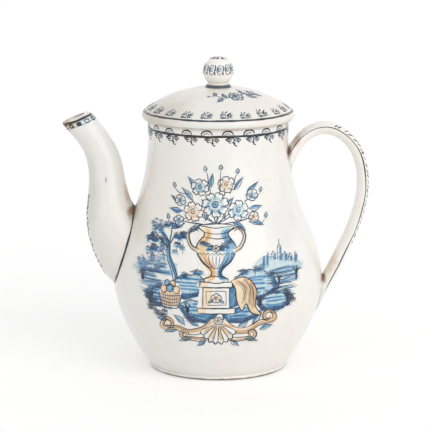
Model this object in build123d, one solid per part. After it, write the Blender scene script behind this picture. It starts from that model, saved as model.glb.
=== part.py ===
from build123d import *
import math
import os

# A tin-glazed earthenware coffee pot with a loose domed lid. Lengths are in millimetres.
# The origin is the centre of the face that the pot stands on. +Z is up, the spout points
# to -X and the handle to +X, and the XZ plane halves every piece.

# Pear-shaped body
BASE_RADIUS = 49.8
BELLY_RADIUS = 76.6
BELLY_Z = 63.4
NECK_RADIUS = 51.3
SHOULDER_Z = 172.5
RIM_Z = 184.0
POT_WALL = 4.2
FLOOR_THICKNESS = 5.0
RIM_ROUNDING = 1.1
# How far the wall keeps its direction at the base, on the belly and under the neck
BASE_FLARE_OUT = 4.5
BASE_FLARE_UP = 2.6
BELLY_FALL = 22.6
BELLY_RISE = 39.3
SHOULDER_EASE = 55.8

# Foot ring
FOOT_HEIGHT = 3.0
FOOT_INSET = 0.8
FOOT_WIDTH = 7.0
FOOT_BULGE = 1.3

# Spout: the outline under it and above it, as reach beyond the belly and height, with
# the half breadth across it, from the root inside the body out to the mouth
SPOUT_WALL = 3.2
SPOUT_SECTIONS = [
    ((-10.0, 55.0), (-40.0, 92.0), 22.0),
    ((4.0, 65.5), (-31.0, 101.0), 26.0),
    ((13.5, 80.0), (-23.0, 109.5), 25.4),
    ((18.8, 96.0), (-17.5, 116.5), 22.4),
    ((20.6, 110.5), (-13.4, 122.5), 18.8),
    ((19.8, 122.5), (-10.8, 129.5), 15.7),
    ((18.4, 135.0), (-8.6, 138.5), 13.1),
    ((18.6, 147.0), (-6.6, 150.0), 11.6),
    ((21.8, 159.5), (-2.0, 163.8), 10.8),
    ((28.4, 170.0), (5.6, 175.6), 10.3),
    ((34.0, 176.4), (12.4, 184.4), 10.0),
    ((37.7, 181.5), (18.0, 189.4), 9.8),
]
MOUTH_ROUNDING = 1.2

# Strainer: a pierced piece of wall that is luted into a round hole behind the spout
STRAINER_RADIUS = 15.0
STRAINER_SEAM = 0.1
STRAINER_HOLE = 3.2
STRAINER_RING_INNER = 5.4
STRAINER_RING_OUTER = 10.8
STRAINER_COUNT = 6
STRAINER_Z = 90.0
STRAINER_TILT = 22.0
STRAINER_PIN = 34.0

# Handle: the strap's middle line, as reach and height. The first part is measured from
# the neck's radius, the second from the belly's
STRAP_WIDTH = 19.0
STRAP_THICKNESS = 9.2
STRAP_CROWN = 2.4
STRAP_STATIONS = 18
# Points of the strap's soft back, as shares of its half width and half thickness
STRAP_SIDE = (0.9, 0.2)
STRAP_BACK = (0.55, 0.86)
HANDLE_FROM_NECK = [(-4.3, 146.0), (0.9, 155.5), (6.6, 165.6), (16.2, 174.8), (28.0, 177.6)]
HANDLE_FROM_BELLY = [
    (15.8, 172.0),
    (25.0, 160.2),
    (29.2, 144.0),
    (28.6, 126.0),
    (23.2, 106.0),
    (14.2, 85.5),
    (3.6, 64.0),
    (-9.4, 40.0),
]

# Lid
LIP_RADIUS = 55.7
LIP_UNDER_RADIUS = 53.2
LIP_TOP_RADIUS = 54.7
LIP_HEIGHT = 6.2
LIP_WIDEST = 3.0
DOME_HEIGHT = 17.4
DOME_BULGE = 3.7
LID_WALL = 4.2
UNDER_FLANK = 3.8
FLANGE_DEPTH = 14.0
FLANGE_WALL = 3.8
FLANGE_CLEARANCE = 0.9

# Knob
COLLAR_RADIUS = 9.8
COLLAR_TOP_RADIUS = 8.4
COLLAR_HEIGHT = 2.0
COLLAR_ROUNDING = 0.5
KNOB_RADIUS = 11.0
KNOB_NECK_RADIUS = 7.7
KNOB_NECK_HEIGHT = 1.5
SEAT_MARGIN = 0.6

FOOT_RADIUS = BASE_RADIUS - FOOT_INSET
NECK_BORE = NECK_RADIUS - POT_WALL
FLANGE_RADIUS = NECK_BORE - FLANGE_CLEARANCE
FLANGE_BORE = FLANGE_RADIUS - FLANGE_WALL
DOME_TOP_Z = RIM_Z + LIP_HEIGHT + DOME_HEIGHT
COLLAR_TOP_Z = DOME_TOP_Z + COLLAR_HEIGHT


def turned(outline):
    """The solid that a closed outline of radius and height sweeps about the Z axis."""
    face = Plane.XZ * make_face(outline)
    return revolve(face, Axis.Z)


def wall_curve(inset, bottom):
    """One skin of the body from the base up to the rim, moved in by an inset."""
    belly = BELLY_RADIUS - inset
    neck = NECK_RADIUS - inset
    flare = (bottom[0] + BASE_FLARE_OUT, bottom[1] + BASE_FLARE_UP)
    lower = Bezier(bottom, flare, (belly, BELLY_Z - BELLY_FALL), (belly, BELLY_Z))
    upper = Bezier(
        (belly, BELLY_Z),
        (belly, BELLY_Z + BELLY_RISE),
        (neck, SHOULDER_Z - SHOULDER_EASE),
        (neck, SHOULDER_Z),
    )
    straight = Line((neck, SHOULDER_Z), (neck, RIM_Z))
    return lower, upper, straight


def solid_core():
    """The body's outer shape, filled, which spout and handle are fitted against."""
    lower, upper, straight = wall_curve(0, (BASE_RADIUS, FOOT_HEIGHT))
    closing = Polyline((NECK_RADIUS, RIM_Z), (0, RIM_Z), (0, FOOT_HEIGHT), (BASE_RADIUS, FOOT_HEIGHT))
    return turned([lower, upper, straight, closing])


def walled(core):
    """The body as thrown, hollow down to its floor, with the rim rounded on both sides."""
    floor_z = FOOT_HEIGHT + FLOOR_THICKNESS
    lower, upper, straight = wall_curve(POT_WALL, (BASE_RADIUS, floor_z))
    closing = Polyline((NECK_BORE, RIM_Z), (0, RIM_Z), (0, floor_z), (BASE_RADIUS, floor_z))
    hollow = turned([lower, upper, straight, closing])
    body = core - hollow
    rim = body.edges().filter_by(GeomType.CIRCLE).group_by(Axis.Z)[-1]
    return fillet(rim, RIM_ROUNDING)


def strainer_place():
    """The middle of the strainer in the wall, with its axis square to the wall."""
    tilt = math.radians(STRAINER_TILT)
    return Plane(
        origin=(-(BELLY_RADIUS - POT_WALL), 0, STRAINER_Z),
        x_dir=(0, 1, 0),
        z_dir=(-math.cos(tilt), 0, math.sin(tilt)),
    )


def strainer_hole():
    """The round hole that is cut through the wall for the strainer."""
    return strainer_place() * Cylinder(STRAINER_RADIUS, STRAINER_PIN)


def pot_body(core):
    """Hollow body with its floor, its plain rim and the hole behind the spout."""
    return walled(core) - strainer_hole()


def strainer_disc(core):
    """The piece of wall that fills the hole, pierced by two rings of holes about a middle one."""
    place = strainer_place()
    plug = place * Cylinder(STRAINER_RADIUS - STRAINER_SEAM, STRAINER_PIN)
    disc = walled(core) & plug
    pin = Cylinder(STRAINER_HOLE / 2, STRAINER_PIN)
    disc -= place * pin
    half_step = 180 / STRAINER_COUNT
    for spot in PolarLocations(STRAINER_RING_INNER, STRAINER_COUNT):
        disc -= place * spot * pin
    for spot in PolarLocations(STRAINER_RING_OUTER, STRAINER_COUNT, half_step):
        disc -= place * spot * pin
    return disc


def foot_ring():
    """Low ring under the base, with a rounded outer edge."""
    bore = FOOT_RADIUS - FOOT_WIDTH
    edge = ThreePointArc(
        (FOOT_RADIUS, 0), (FOOT_RADIUS + FOOT_BULGE, FOOT_HEIGHT / 2), (BASE_RADIUS, FOOT_HEIGHT)
    )
    rest = Polyline((BASE_RADIUS, FOOT_HEIGHT), (bore, FOOT_HEIGHT), (bore, 0), (FOOT_RADIUS, 0))
    return turned([edge, rest])


def spout_section(under, over, half_breadth, inset):
    """An oval across the spout, between a point of its lower and of its upper outline."""
    low = Vector(-(BELLY_RADIUS + under[0]), 0, under[1])
    high = Vector(-(BELLY_RADIUS + over[0]), 0, over[1])
    across = high - low
    plane = Plane(origin=(low + high) / 2, x_dir=across, z_dir=across.cross(Vector(0, 1, 0)))
    return plane * Ellipse(across.length / 2 - inset, half_breadth - inset)


def pouring_spout(core):
    """Hollow spout, open at the mouth and cut to lie against the body."""
    outside = loft([spout_section(*section, 0) for section in SPOUT_SECTIONS])
    channel = loft([spout_section(*section, SPOUT_WALL) for section in SPOUT_SECTIONS])
    spout = outside - core - channel
    mouth = spout.edges().group_by(Axis.X)[0]
    return fillet(mouth, MOUTH_ROUNDING)


def handle_path():
    """The strap's middle line, from inside the neck over the top to inside the belly."""
    points = [(NECK_RADIUS + reach, 0, z) for reach, z in HANDLE_FROM_NECK]
    points += [(BELLY_RADIUS + reach, 0, z) for reach, z in HANDLE_FROM_BELLY]
    return Spline(points)


def strap_section(path, share):
    """The strap cut across: a crowned outer face, two crisp shoulders and a soft back."""
    plane = Plane(origin=path @ share, x_dir=(0, 1, 0), z_dir=path % share)
    half = STRAP_WIDTH / 2
    top = STRAP_THICKNESS / 2
    shoulder = top - STRAP_CROWN
    face = ThreePointArc((-half, shoulder), (0, top), (half, shoulder))
    side = (STRAP_SIDE[0] * half, -STRAP_SIDE[1] * top)
    rear = (STRAP_BACK[0] * half, -STRAP_BACK[1] * top)
    back = Spline(
        (half, shoulder),
        side,
        rear,
        (0, -top),
        (-rear[0], rear[1]),
        (-side[0], side[1]),
        (-half, shoulder),
    )
    return plane * make_face([face, back])


def strap_handle(core):
    """Loop of strap from the neck to the belly, cut to lie against both."""
    path = handle_path()
    shares = [i / (STRAP_STATIONS - 1) for i in range(STRAP_STATIONS)]
    strap = loft([strap_section(path, share) for share in shares])
    return strap - core


def lid_cover():
    """Shallow dome on a rounded lip, with a flat seat for the knob's collar."""
    seat = COLLAR_RADIUS + SEAT_MARGIN
    lip_top = RIM_Z + LIP_HEIGHT
    bulge = (LIP_RADIUS, RIM_Z + LIP_WIDEST)
    lip = ThreePointArc((LIP_UNDER_RADIUS, RIM_Z), bulge, (LIP_TOP_RADIUS, lip_top))
    middle = ((LIP_TOP_RADIUS + seat) / 2, (lip_top + DOME_TOP_Z) / 2 + DOME_BULGE)
    dome = ThreePointArc((LIP_TOP_RADIUS, lip_top), middle, (seat, DOME_TOP_Z))
    under_z = DOME_TOP_Z - LID_WALL
    flank = (FLANGE_BORE, lip_top + UNDER_FLANK)
    top = Polyline((seat, DOME_TOP_Z), (0, DOME_TOP_Z), (0, under_z))
    under = ThreePointArc((0, under_z), (middle[0], middle[1] - LID_WALL), flank)
    base = Polyline(flank, (FLANGE_BORE, RIM_Z), (LIP_UNDER_RADIUS, RIM_Z))
    return turned([lip, dome, top, under, base])


def lid_flange():
    """Ring under the lid that drops into the neck."""
    low = RIM_Z - FLANGE_DEPTH
    ring = Polyline(
        (FLANGE_BORE, low), (FLANGE_RADIUS, low), (FLANGE_RADIUS, RIM_Z), (FLANGE_BORE, RIM_Z), close=True
    )
    solid = turned(ring)
    lowest = solid.edges().filter_by(GeomType.CIRCLE).group_by(Axis.Z)[0]
    return fillet(lowest, RIM_ROUNDING)


def knob_collar():
    """Thin sloping disc between the dome and the knob."""
    disc = Pos(0, 0, DOME_TOP_Z) * Cone(
        COLLAR_RADIUS, COLLAR_TOP_RADIUS, COLLAR_HEIGHT, align=(Align.CENTER, Align.CENTER, Align.MIN)
    )
    rim = disc.edges().filter_by(GeomType.CIRCLE).group_by(Axis.Z)[-1]
    return fillet(rim, COLLAR_ROUNDING)


def ball_knob():
    """Ball on a short neck that stands on the collar."""
    neck_z = COLLAR_TOP_Z + KNOB_NECK_HEIGHT
    middle_z = neck_z + math.sqrt(KNOB_RADIUS**2 - KNOB_NECK_RADIUS**2)
    top_z = middle_z + KNOB_RADIUS
    ball = ThreePointArc((0, top_z), (KNOB_RADIUS, middle_z), (KNOB_NECK_RADIUS, neck_z))
    closing = Polyline(
        (KNOB_NECK_RADIUS, neck_z), (KNOB_NECK_RADIUS, COLLAR_TOP_Z), (0, COLLAR_TOP_Z), (0, top_z)
    )
    return turned([ball, closing])


def main():
    """Build every piece and write one STEP file for each."""
    os.makedirs("parts", exist_ok=True)
    core = solid_core()
    export_step(pot_body(core), "parts/pot_body.step")
    export_step(strainer_disc(core), "parts/strainer_disc.step")
    export_step(foot_ring(), "parts/foot_ring.step")
    export_step(pouring_spout(core), "parts/pouring_spout.step")
    export_step(strap_handle(core), "parts/strap_handle.step")
    export_step(lid_cover(), "parts/lid_cover.step")
    export_step(lid_flange(), "parts/lid_flange.step")
    export_step(knob_collar(), "parts/knob_collar.step")
    export_step(ball_knob(), "parts/ball_knob.step")


main()
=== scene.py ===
"""A tin-glazed earthenware coffee pot with a painted picture, borders and a loose domed lid.

Sizes are in millimetres and become metres where a mesh or a node tree is made. The origin is the middle of
the face that the pot stands on, +Z is up, the spout points to -X and the painted front to -Y.
"""
from __future__ import annotations

import functools
import logging
import math
from collections.abc import Callable
from dataclasses import dataclass
from enum import Enum

import bpy
import numpy as np
from bpy.types import Material, Mesh, Node, NodeSocket, NodeTree, Object
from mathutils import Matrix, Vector
from mathutils.bvhtree import BVHTree


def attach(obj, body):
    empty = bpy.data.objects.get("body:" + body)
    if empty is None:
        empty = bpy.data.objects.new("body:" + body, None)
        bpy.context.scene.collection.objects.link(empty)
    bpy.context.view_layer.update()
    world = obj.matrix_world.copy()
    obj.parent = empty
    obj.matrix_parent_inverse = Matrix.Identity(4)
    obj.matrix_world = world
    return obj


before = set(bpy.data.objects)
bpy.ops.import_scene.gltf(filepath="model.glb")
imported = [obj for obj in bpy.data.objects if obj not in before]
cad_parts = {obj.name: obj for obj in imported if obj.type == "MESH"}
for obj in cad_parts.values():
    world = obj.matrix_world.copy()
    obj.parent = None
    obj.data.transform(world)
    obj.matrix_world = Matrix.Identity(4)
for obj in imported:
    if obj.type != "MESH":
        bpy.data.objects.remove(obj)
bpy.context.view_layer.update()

log = logging.getLogger("coffee_pot")
MM = 0.001
WHITE = (1.0, 1.0, 1.0, 1.0)
BROWN = (0.62, 0.48, 0.36)
TAN = (0.88, 0.79, 0.68)
GLASS = 1.48
THICKEST_WASH = 2.2
Array = np.ndarray
Point = tuple[float, float]
Triple = tuple[float, float, float]
Track = list[Point] | Array
Places = tuple[Array, Array]
Seam = tuple[Array, Array, Array]


def paint(red: float, green: float, blue: float) -> tuple[float, float, float, float]:
    """Turn a colour as it looks on a screen into the shader's linear colour."""
    return (*((c / 12.92 if c <= 0.04045 else ((c + 0.055) / 1.055) ** 2.4) for c in (red, green, blue)), 1.0)


class Ware(Enum):
    """The two bodies that come apart, each with the record's slot of its glaze."""

    POT = ("pot", "pot_glaze")
    LID = ("lid", "lid_glaze")


class Pigment(Enum):
    """The painter's three pigments: the tint that each gives the glaze as its wash gets thicker."""

    BLUE = (
        (0.16, (0.79, 0.885, 0.93)), (0.36, (0.48, 0.69, 0.84)),
        (0.62, (0.2, 0.48, 0.7)), (1.0, (0.08, 0.26, 0.44)),
    )
    OCHRE = (
        (0.18, (1.0, 0.94, 0.86)), (0.41, (0.96, 0.81, 0.62)),
        (0.73, (0.84, 0.62, 0.39)), (1.0, (0.62, 0.42, 0.25)),
    )
    DARK = ((0.25, (0.76, 0.78, 0.83)), (0.6, (0.36, 0.39, 0.46)), (1.0, (0.16, 0.19, 0.22)))


BLUE, OCHRE, DARK = Pigment


class Value:
    """A number in a node tree that takes part in Python sums."""

    def __init__(self, book: NodeBook, socket: NodeSocket) -> None:
        """Wrap a socket of one tree."""
        self.book, self.socket = book, socket

    def _math(self, operation: str, *values: object) -> Value:
        """Add a Math node of some values."""
        node = self.book.node("ShaderNodeMath", {"operation": operation}, dict(enumerate(values)))
        return self.book.value(node.outputs[0])

    def __add__(self, other: object) -> Value:
        """self + other."""
        return self._math("ADD", self, other)

    def __radd__(self, other: object) -> Value:
        """other + self."""
        return self._math("ADD", other, self)

    def __sub__(self, other: object) -> Value:
        """self - other."""
        return self._math("SUBTRACT", self, other)

    def __rsub__(self, other: object) -> Value:
        """other - self."""
        return self._math("SUBTRACT", other, self)

    def __mul__(self, other: object) -> Value:
        """self * other."""
        return self._math("MULTIPLY", self, other)

    def __rmul__(self, other: object) -> Value:
        """other * self."""
        return self._math("MULTIPLY", other, self)

    def __truediv__(self, other: object) -> Value:
        """self / other."""
        return self._math("DIVIDE", self, other)

    def __rtruediv__(self, other: object) -> Value:
        """other / self."""
        return self._math("DIVIDE", other, self)

    def bigger(self, other: object) -> Value:
        """The larger of two values."""
        return self._math("MAXIMUM", self, other)

    def sine(self) -> Value:
        """The sine of the value in radians."""
        return self._math("SINE", self)

    def cosine(self) -> Value:
        """The cosine of the value in radians."""
        return self._math("COSINE", self)

    def size(self) -> Value:
        """The value without its sign."""
        return self._math("ABSOLUTE", self)

    def step(self, low: float, high: float) -> Value:
        """Rise smoothly, or fall where low is the larger.

        Args:
            low: where the result is 0.
            high: where the result is 1.

        Returns:
            The smooth step.
        """
        ends = {"From Min": min(low, high), "From Max": max(low, high)}
        ends |= {"To Min": float(low > high), "To Max": float(low <= high)}
        node = self.book.node("ShaderNodeMapRange", {"interpolation_type": "SMOOTHSTEP"}, {"Value": self, **ends})
        return self.book.value(node.outputs[0])


class NodeBook:
    """A node tree of a material, a world or a modifier, filled node by node."""

    def __init__(self, tree: NodeTree) -> None:
        """Fill this tree."""
        self.tree = tree
        self.parts: dict[NodeSocket, list[Value]] = {}

    @classmethod
    def fresh(cls, owner: Material | bpy.types.World) -> NodeBook:
        """Empty the node tree of a new material or world and fill it.

        Args:
            owner: what the tree belongs to.

        Returns:
            The empty tree.
        """
        owner.use_nodes = True
        owner.node_tree.nodes.clear()
        return cls(owner.node_tree)

    def node(self, kind: str, settings: dict | None = None, sockets: dict | None = None) -> Node:
        """Add a node.

        Args:
            kind: the node's type.
            settings: its options, set first; stops holds a ramp's places and colours.
            sockets: values or links for its inputs, by name or place.

        Returns:
            The new node.
        """
        made = self.tree.nodes.new(kind)
        for name, value in (settings or {}).items():
            if name == "stops":
                ramp = made.color_ramp
                while len(ramp.elements) < len(value):
                    ramp.elements.new(0.5)
                for element, (place, colour) in zip(ramp.elements, value):
                    element.position, element.color = place, colour
            else:
                setattr(made, name, value)
        for name, value in (sockets or {}).items():
            if isinstance(value, Value):
                value = value.socket
            if isinstance(value, NodeSocket):
                self.tree.links.new(value, made.inputs[name])
            else:
                made.inputs[name].default_value = value
        return made

    def value(self, socket: NodeSocket) -> Value:
        """Wrap a socket for sums."""
        return Value(self, socket)

    def split(self, vector: NodeSocket) -> list[Value]:
        """Take a vector apart, each one only once.

        Args:
            vector: the vector.

        Returns:
            Its three parts.
        """
        if vector not in self.parts:
            parts = self.node("ShaderNodeSeparateXYZ", None, {0: vector}).outputs
            self.parts[vector] = [self.value(part) for part in parts]
        return self.parts[vector]

    def joined(self, x: object = 0.0, y: object = 0.0, z: object = 0.0) -> NodeSocket:
        """Join three parts to a vector."""
        return self.node("ShaderNodeCombineXYZ", None, {0: x, 1: y, 2: z}).outputs[0]

    def vector(self, operation: str, *values: object) -> Node:
        """Add a Vector Math node."""
        return self.node("ShaderNodeVectorMath", {"operation": operation}, dict(enumerate(values)))

    def noise(self, where: object, scale: float, detail: float = 2.0, rough: float = 0.5) -> Value:
        """Add soft noise around 0.5: its cells per metre, its finer layers and how strong those are."""
        sockets = {"Vector": where, "Scale": scale, "Detail": detail, "Roughness": rough}
        return self.value(self.node("ShaderNodeTexNoise", None, sockets).outputs[0])

    def patches(self, where: object, scale: float, detail: float, rough: float, *ends: float) -> Value:
        """Add patches of noise, which start at one of its values and are full at the next."""
        return self.noise(where, scale, detail, rough).step(*ends)

    def blend(self, share: object, one: object, other: object, how: str = "MIX") -> NodeSocket:
        """Mix a share of a second colour into a first one."""
        made = self.node("ShaderNodeMix", {"data_type": "RGBA", "blend_type": how}, {0: share, 6: one, 7: other})
        return made.outputs[2]

    def ramp(self, share: object, stops: list[tuple[float, Triple]]) -> NodeSocket:
        """Read a colour from a ramp of places and screen colours."""
        painted = [(place, paint(*colour)) for place, colour in stops]
        return self.node("ShaderNodeValToRGB", {"stops": painted}, {0: share}).outputs[0]

    def chance(self, ends: Point, seed: object) -> Value:
        """Add a random value between two ends."""
        node = self.node("FunctionNodeRandomValue", {"data_type": "FLOAT"}, {2: ends[0], 3: ends[1], "Seed": seed})
        return self.value(node.outputs[1])

    def geometry(self, kind: str, source: Node, **sockets: object) -> Node:
        """Add a geometry node of this kind behind another."""
        return self.node("GeometryNode" + kind, None, {0: source.outputs[0], **sockets})

    def stored(self, source: Node, domain: str, name: str, value: object) -> Node:
        """Store a number under a name on each item of a geometry."""
        sockets = {"Geometry": source.outputs[0], "Name": name, "Value": value}
        return self.node("GeometryNodeStoreNamedAttribute", {"data_type": "FLOAT", "domain": domain}, sockets)

    def named(self, name: str) -> Value:
        """Read the number stored under a name."""
        node = self.node("GeometryNodeInputNamedAttribute", {"data_type": "FLOAT"}, {"Name": name})
        return self.value(node.outputs[0])

    def seen(self) -> Value:
        """1 for rays from the camera, from gloss or through glass, 0 for the light's other rays."""
        rays = self.node("ShaderNodeLightPath").outputs
        return self.value(rays["Is Camera Ray"]).bigger(rays["Is Glossy Ray"]).bigger(rays["Is Transmission Ray"])

    def surface(self, sockets: dict) -> None:
        """Close a material with a Principled BSDF of these sockets."""
        shader = self.node("ShaderNodeBsdfPrincipled", None, sockets)
        self.node("ShaderNodeOutputMaterial", None, {"Surface": shader.outputs[0]})


def new_material(name: str) -> tuple[Material, NodeBook, NodeSocket]:
    """Make an empty material.

    Args:
        name: its name.

    Returns:
        The material, its tree and the place on the piece.
    """
    made = bpy.data.materials.new(name)
    book = NodeBook.fresh(made)
    return made, book, book.node("ShaderNodeTexCoord").outputs["Object"]


@dataclass(frozen=True)
class StainAndShade:
    """A soft egg-shaped patch of tint with a ragged edge: some are stains, others are painted shade."""

    centre: Triple
    reach: Triple
    tint: Triple
    strength: float
    grain: float = 160.0
    ragged: float = 1.3
    core: float = 0.25

    def mask(self, book: NodeBook, where: NodeSocket) -> Value:
        """Work out how strong the patch is at a place.

        Args:
            book: the material's tree.
            where: the place on the piece.

        Returns:
            Its strength, from 0 to 1.
        """
        apart = book.vector("SUBTRACT", where, [c * MM for c in self.centre]).outputs[0]
        share = book.vector("DIVIDE", apart, [r * MM for r in self.reach]).outputs[0]
        far = book.value(book.vector("LENGTH", share).outputs["Value"])
        return (far + (book.noise(where, self.grain, 3.0, 0.65) - 0.5) * self.ragged).step(1.0, self.core)


@dataclass(frozen=True)
class Girdle:
    """A level band of tint round the pot's axis, of some height and half width."""

    height: float
    half: float
    tint: Triple
    strength: float
    grain: float = 120.0
    ragged: float = 1.1
    core: float = 0.3

    def mask(self, book: NodeBook, where: NodeSocket) -> Value:
        """How strong the band is at a place, from 0 to 1."""
        off = (book.split(where)[2] - self.height * MM).size() / (self.half * MM)
        return (off + (book.noise(where, self.grain, 3.0, 0.6) - 0.5) * self.ragged).step(1.0, self.core)


@dataclass(frozen=True)
class TinGlaze:
    """Cream-white tin glaze with clouds, mottling, pinholes, fine hollows, marks of long use and patches of painted
    shade.
    """

    name: str
    cream: Triple = (0.937, 0.931, 0.915)
    shade: Triple = (0.91, 0.901, 0.88)
    blush: Triple = (0.935, 0.916, 0.889)
    marks: tuple[StainAndShade | Girdle, ...] = ()
    clouds: tuple[float, ...] = (14.0, 3.0, 0.55, 0.35, 0.68)
    mottling: tuple[float, ...] = (90.0, 4.0, 0.6, 0.42, 0.75)
    mottling_share: float = 0.55
    scarce: tuple[float, ...] = (60.0, 1.0, 0.5, 0.6, 0.68)
    pinholes: float = 0.5
    pin_scale: float = 210.0
    pin_edge: Point = (0.11, 0.03)
    gloss: float = 0.22
    gloss_swing: float = 0.12
    hollow_depth: float = 0.6
    hollow_scales: Point = (45.0, 420.0)
    fine_hollows: float = 0.12

    def ground(self, book: NodeBook, where: NodeSocket) -> NodeSocket:
        """Work out the glaze's own colour.

        Args:
            book: the material's tree.
            where: the place on the piece.

        Returns:
            The colour with its mottling, pinholes and marks.
        """
        broad, fine = (book.patches(where, *patches) for patches in (self.clouds, self.mottling))
        colour = book.blend(broad, paint(*self.cream), paint(*self.blush))
        colour = book.blend(fine * self.mottling_share, colour, paint(*self.shade))
        cells = book.node("ShaderNodeTexVoronoi", None, {"Vector": where, "Scale": self.pin_scale})
        near = book.value(cells.outputs["Distance"]).step(*self.pin_edge)
        colour = book.blend(near * book.patches(where, *self.scarce) * self.pinholes, colour, paint(*BROWN))
        for mark in self.marks:
            colour = book.blend(mark.mask(book, where) * mark.strength, colour, paint(*mark.tint), "MULTIPLY")
        return colour

    def material(self, over: Callable[[NodeBook, object, object], object] | None = None) -> Material:
        """Make the glaze.

        Args:
            over: what lays paint over the ground colour, given the tree, the ground and the place.

        Returns:
            The material.
        """
        made, book, where = new_material(self.name)
        colour = self.ground(book, where)
        if over:
            colour = over(book, colour, where)
        rough = self.gloss + (book.noise(where, 70.0, 3.0) - 0.5) * self.gloss_swing
        broad, fine = (book.noise(where, scale, 2.0) for scale in self.hollow_scales)
        depth = {"Strength": 0.16, "Distance": self.hollow_depth * MM}
        bump = book.node("ShaderNodeBump", None, {**depth, "Height": broad + fine * self.fine_hollows})
        coat = {"IOR": GLASS, "Coat Weight": 0.15, "Coat Roughness": 0.1}
        book.surface({"Base Color": colour, "Roughness": rough.bigger(0.05), "Normal": bump.outputs[0], **coat})
        return made


@dataclass(frozen=True)
class BrushLine:
    """Line colour under the glaze, a pale wash where the brush holds water and dark where it is loaded.

    The warm colours take over round one place along X, where the fire turned the paint brown.
    """

    name: str
    wash: Triple = (0.78, 0.86, 0.92)
    thin: Triple = (0.50, 0.59, 0.69)
    full: Triple = (0.13, 0.18, 0.25)
    warm: Triple = (0.23, 0.19, 0.16)
    warm_wash: Triple = (0.87, 0.82, 0.74)
    warmth: float = 0.0
    warm_middle: float = -10.0
    warm_half: float = 26.0
    least_load: float = 0.62
    load_swing: float = 0.76

    def material(self) -> Material:
        """Make the line colour, in which the attribute ink says how loaded the brush was.

        Returns:
            The material.
        """
        made, book, where = new_material(self.name)
        ink = book.value(book.node("ShaderNodeAttribute", {"attribute_name": "ink"}).outputs["Fac"])
        load = ink * (self.least_load + book.noise(where, 260.0, 3.0) * self.load_swing)
        middle = tuple((a + b) / 2 for a, b in zip(self.thin, self.full))
        colour = book.ramp(load, [(0.12, self.wash), (0.34, self.thin), (0.6, middle), (0.9, self.full)])
        if self.warmth:
            side = (book.split(where)[0] - self.warm_middle * MM).size()
            off = side + (book.noise(where, 30.0, 2.0) - 0.5) * 0.02
            turn = off.step(self.warm_half * MM, self.warm_half * 0.45 * MM)
            brown = book.ramp(load, [(0.15, self.warm_wash), (0.6, self.warm)])
            colour = book.blend(turn * self.warmth, colour, brown)
        rough = 0.2 + (book.noise(where, 300.0, 2.0) - 0.5) * 0.15
        book.surface({"Base Color": colour, "Roughness": rough, "IOR": GLASS, "Coat Weight": 0.25})
        return made


def washed(book: NodeBook, ground: object, where: object) -> object:
    """Lay the pigments of the attribute wash over a ground colour.

    Args:
        book: the material's tree.
        ground: the colour below.
        where: the place on the piece.

    Returns:
        The colour with the washes on it.
    """
    parts = book.split(book.node("ShaderNodeAttribute", {"attribute_name": "wash"}).outputs["Vector"])
    grain = 0.86 + book.noise(where, 500.0, 3.0) * 0.28
    for pigment, part in zip(Pigment, parts):
        tint = book.ramp(part * grain * (1 / THICKEST_WASH), [(0.0, WHITE[:3]), *pigment.value])
        ground = book.blend(1.0, ground, tint, "MULTIPLY")
    return ground


SOFT, BLUNT, EVEN, TAIL = (0.3, 0.3), (0.05, 0.05), (0.1, 0.1), (0.1, 0.6)
SCATTER = (127.1, 311.7, 17.3, 43758.5453)
PETAL = ((-1, 0.66), (-0.72, 0.93), (-0.2, 1.0), (0, 0.9), (0.3, 1.01), (0.75, 0.92), (1, 0.66))
LOBES = ((-1.5, -0.3), (-1.1, 0.7), (-0.4, 0.1), (0, 1.0), (0.5, 0.1), (1.2, 0.6), (1.5, -0.4))


@dataclass
class Stroke:
    """One drawn line on the unrolled surface: its points, its widths and how dark it is."""

    points: Array
    widths: Array
    ink: float


@dataclass
class Dab:
    """A wet brush load, pulled along a line or pooled inside an outline."""

    pigment: Pigment
    points: Array
    width: float
    strength: float
    pooled: bool
    seed: float
    clears: bool = False


def eased(points: Track, step: float = 0.8) -> Array:
    """Run a smooth line through a few points.

    Args:
        points: the points that the line passes.
        step: how far apart the returned points are, in mm.

    Returns:
        The line's points, one row each.
    """
    knots = np.asarray(points, float)
    ends = np.vstack([2 * knots[0] - knots[1], knots, 2 * knots[-1] - knots[-2]])
    spans = []
    for before, start, end, after in zip(ends, ends[1:], ends[2:], ends[3:]):
        count = max(2, int(np.hypot(*(end - start)) / step) + 1)
        t = np.linspace(0, 1, count, endpoint=False)[:, None]
        square = (2 * before - 5 * start + 4 * end - after) * t**2
        cube = (3 * start - before - 3 * end + after) * t**3
        spans.append(0.5 * (2 * start + (end - before) * t + square + cube))
    return np.vstack([*spans, knots[-1:]])


def oval(centre: Point, wide: float, high: float, angle: float) -> Point:
    """A place on an oval of these half sizes round a centre."""
    return (centre[0] + wide * math.cos(angle), centre[1] + high * math.sin(angle))


def within(ring: Array, x: Array, y: Array) -> Array:
    """Find which places lie inside a closed outline.

    Args:
        ring: the outline's corners.
        x: the places' first coordinates.
        y: their second coordinates.

    Returns:
        True for each place inside.
    """
    inside = np.zeros(np.shape(x), bool)
    for start, end in zip(ring, np.roll(ring, -1, 0)):
        if start[1] != end[1]:
            crosses = (start[1] > y) != (end[1] > y)
            inside ^= crosses & (x < (end[0] - start[0]) * (y - start[1]) / (end[1] - start[1]) + start[0])
    return inside


def mottle(x: Array, y: Array, seed: float) -> Array:
    """Spread smooth patches over a plane.

    Args:
        x: first coordinates, in patches.
        y: second coordinates, in patches.
        seed: which of the many patterns it is.

    Returns:
        Values between 0 and 1.
    """
    i, j = np.floor(x), np.floor(y)
    fx, fy = x - i, y - j
    u, v = fx * fx * (3 - 2 * fx), fy * fy * (3 - 2 * fy)

    def corner(a: Array, b: Array) -> Array:
        """A fixed random value at a corner of the grid."""
        h = np.sin(a * SCATTER[0] + b * SCATTER[1] + seed * SCATTER[2]) * SCATTER[3]
        return h - np.floor(h)

    low, high = (corner(i, row) * (1 - u) + corner(i + 1, row) * u for row in (j, j + 1))
    return low * (1 - v) + high * v


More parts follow.
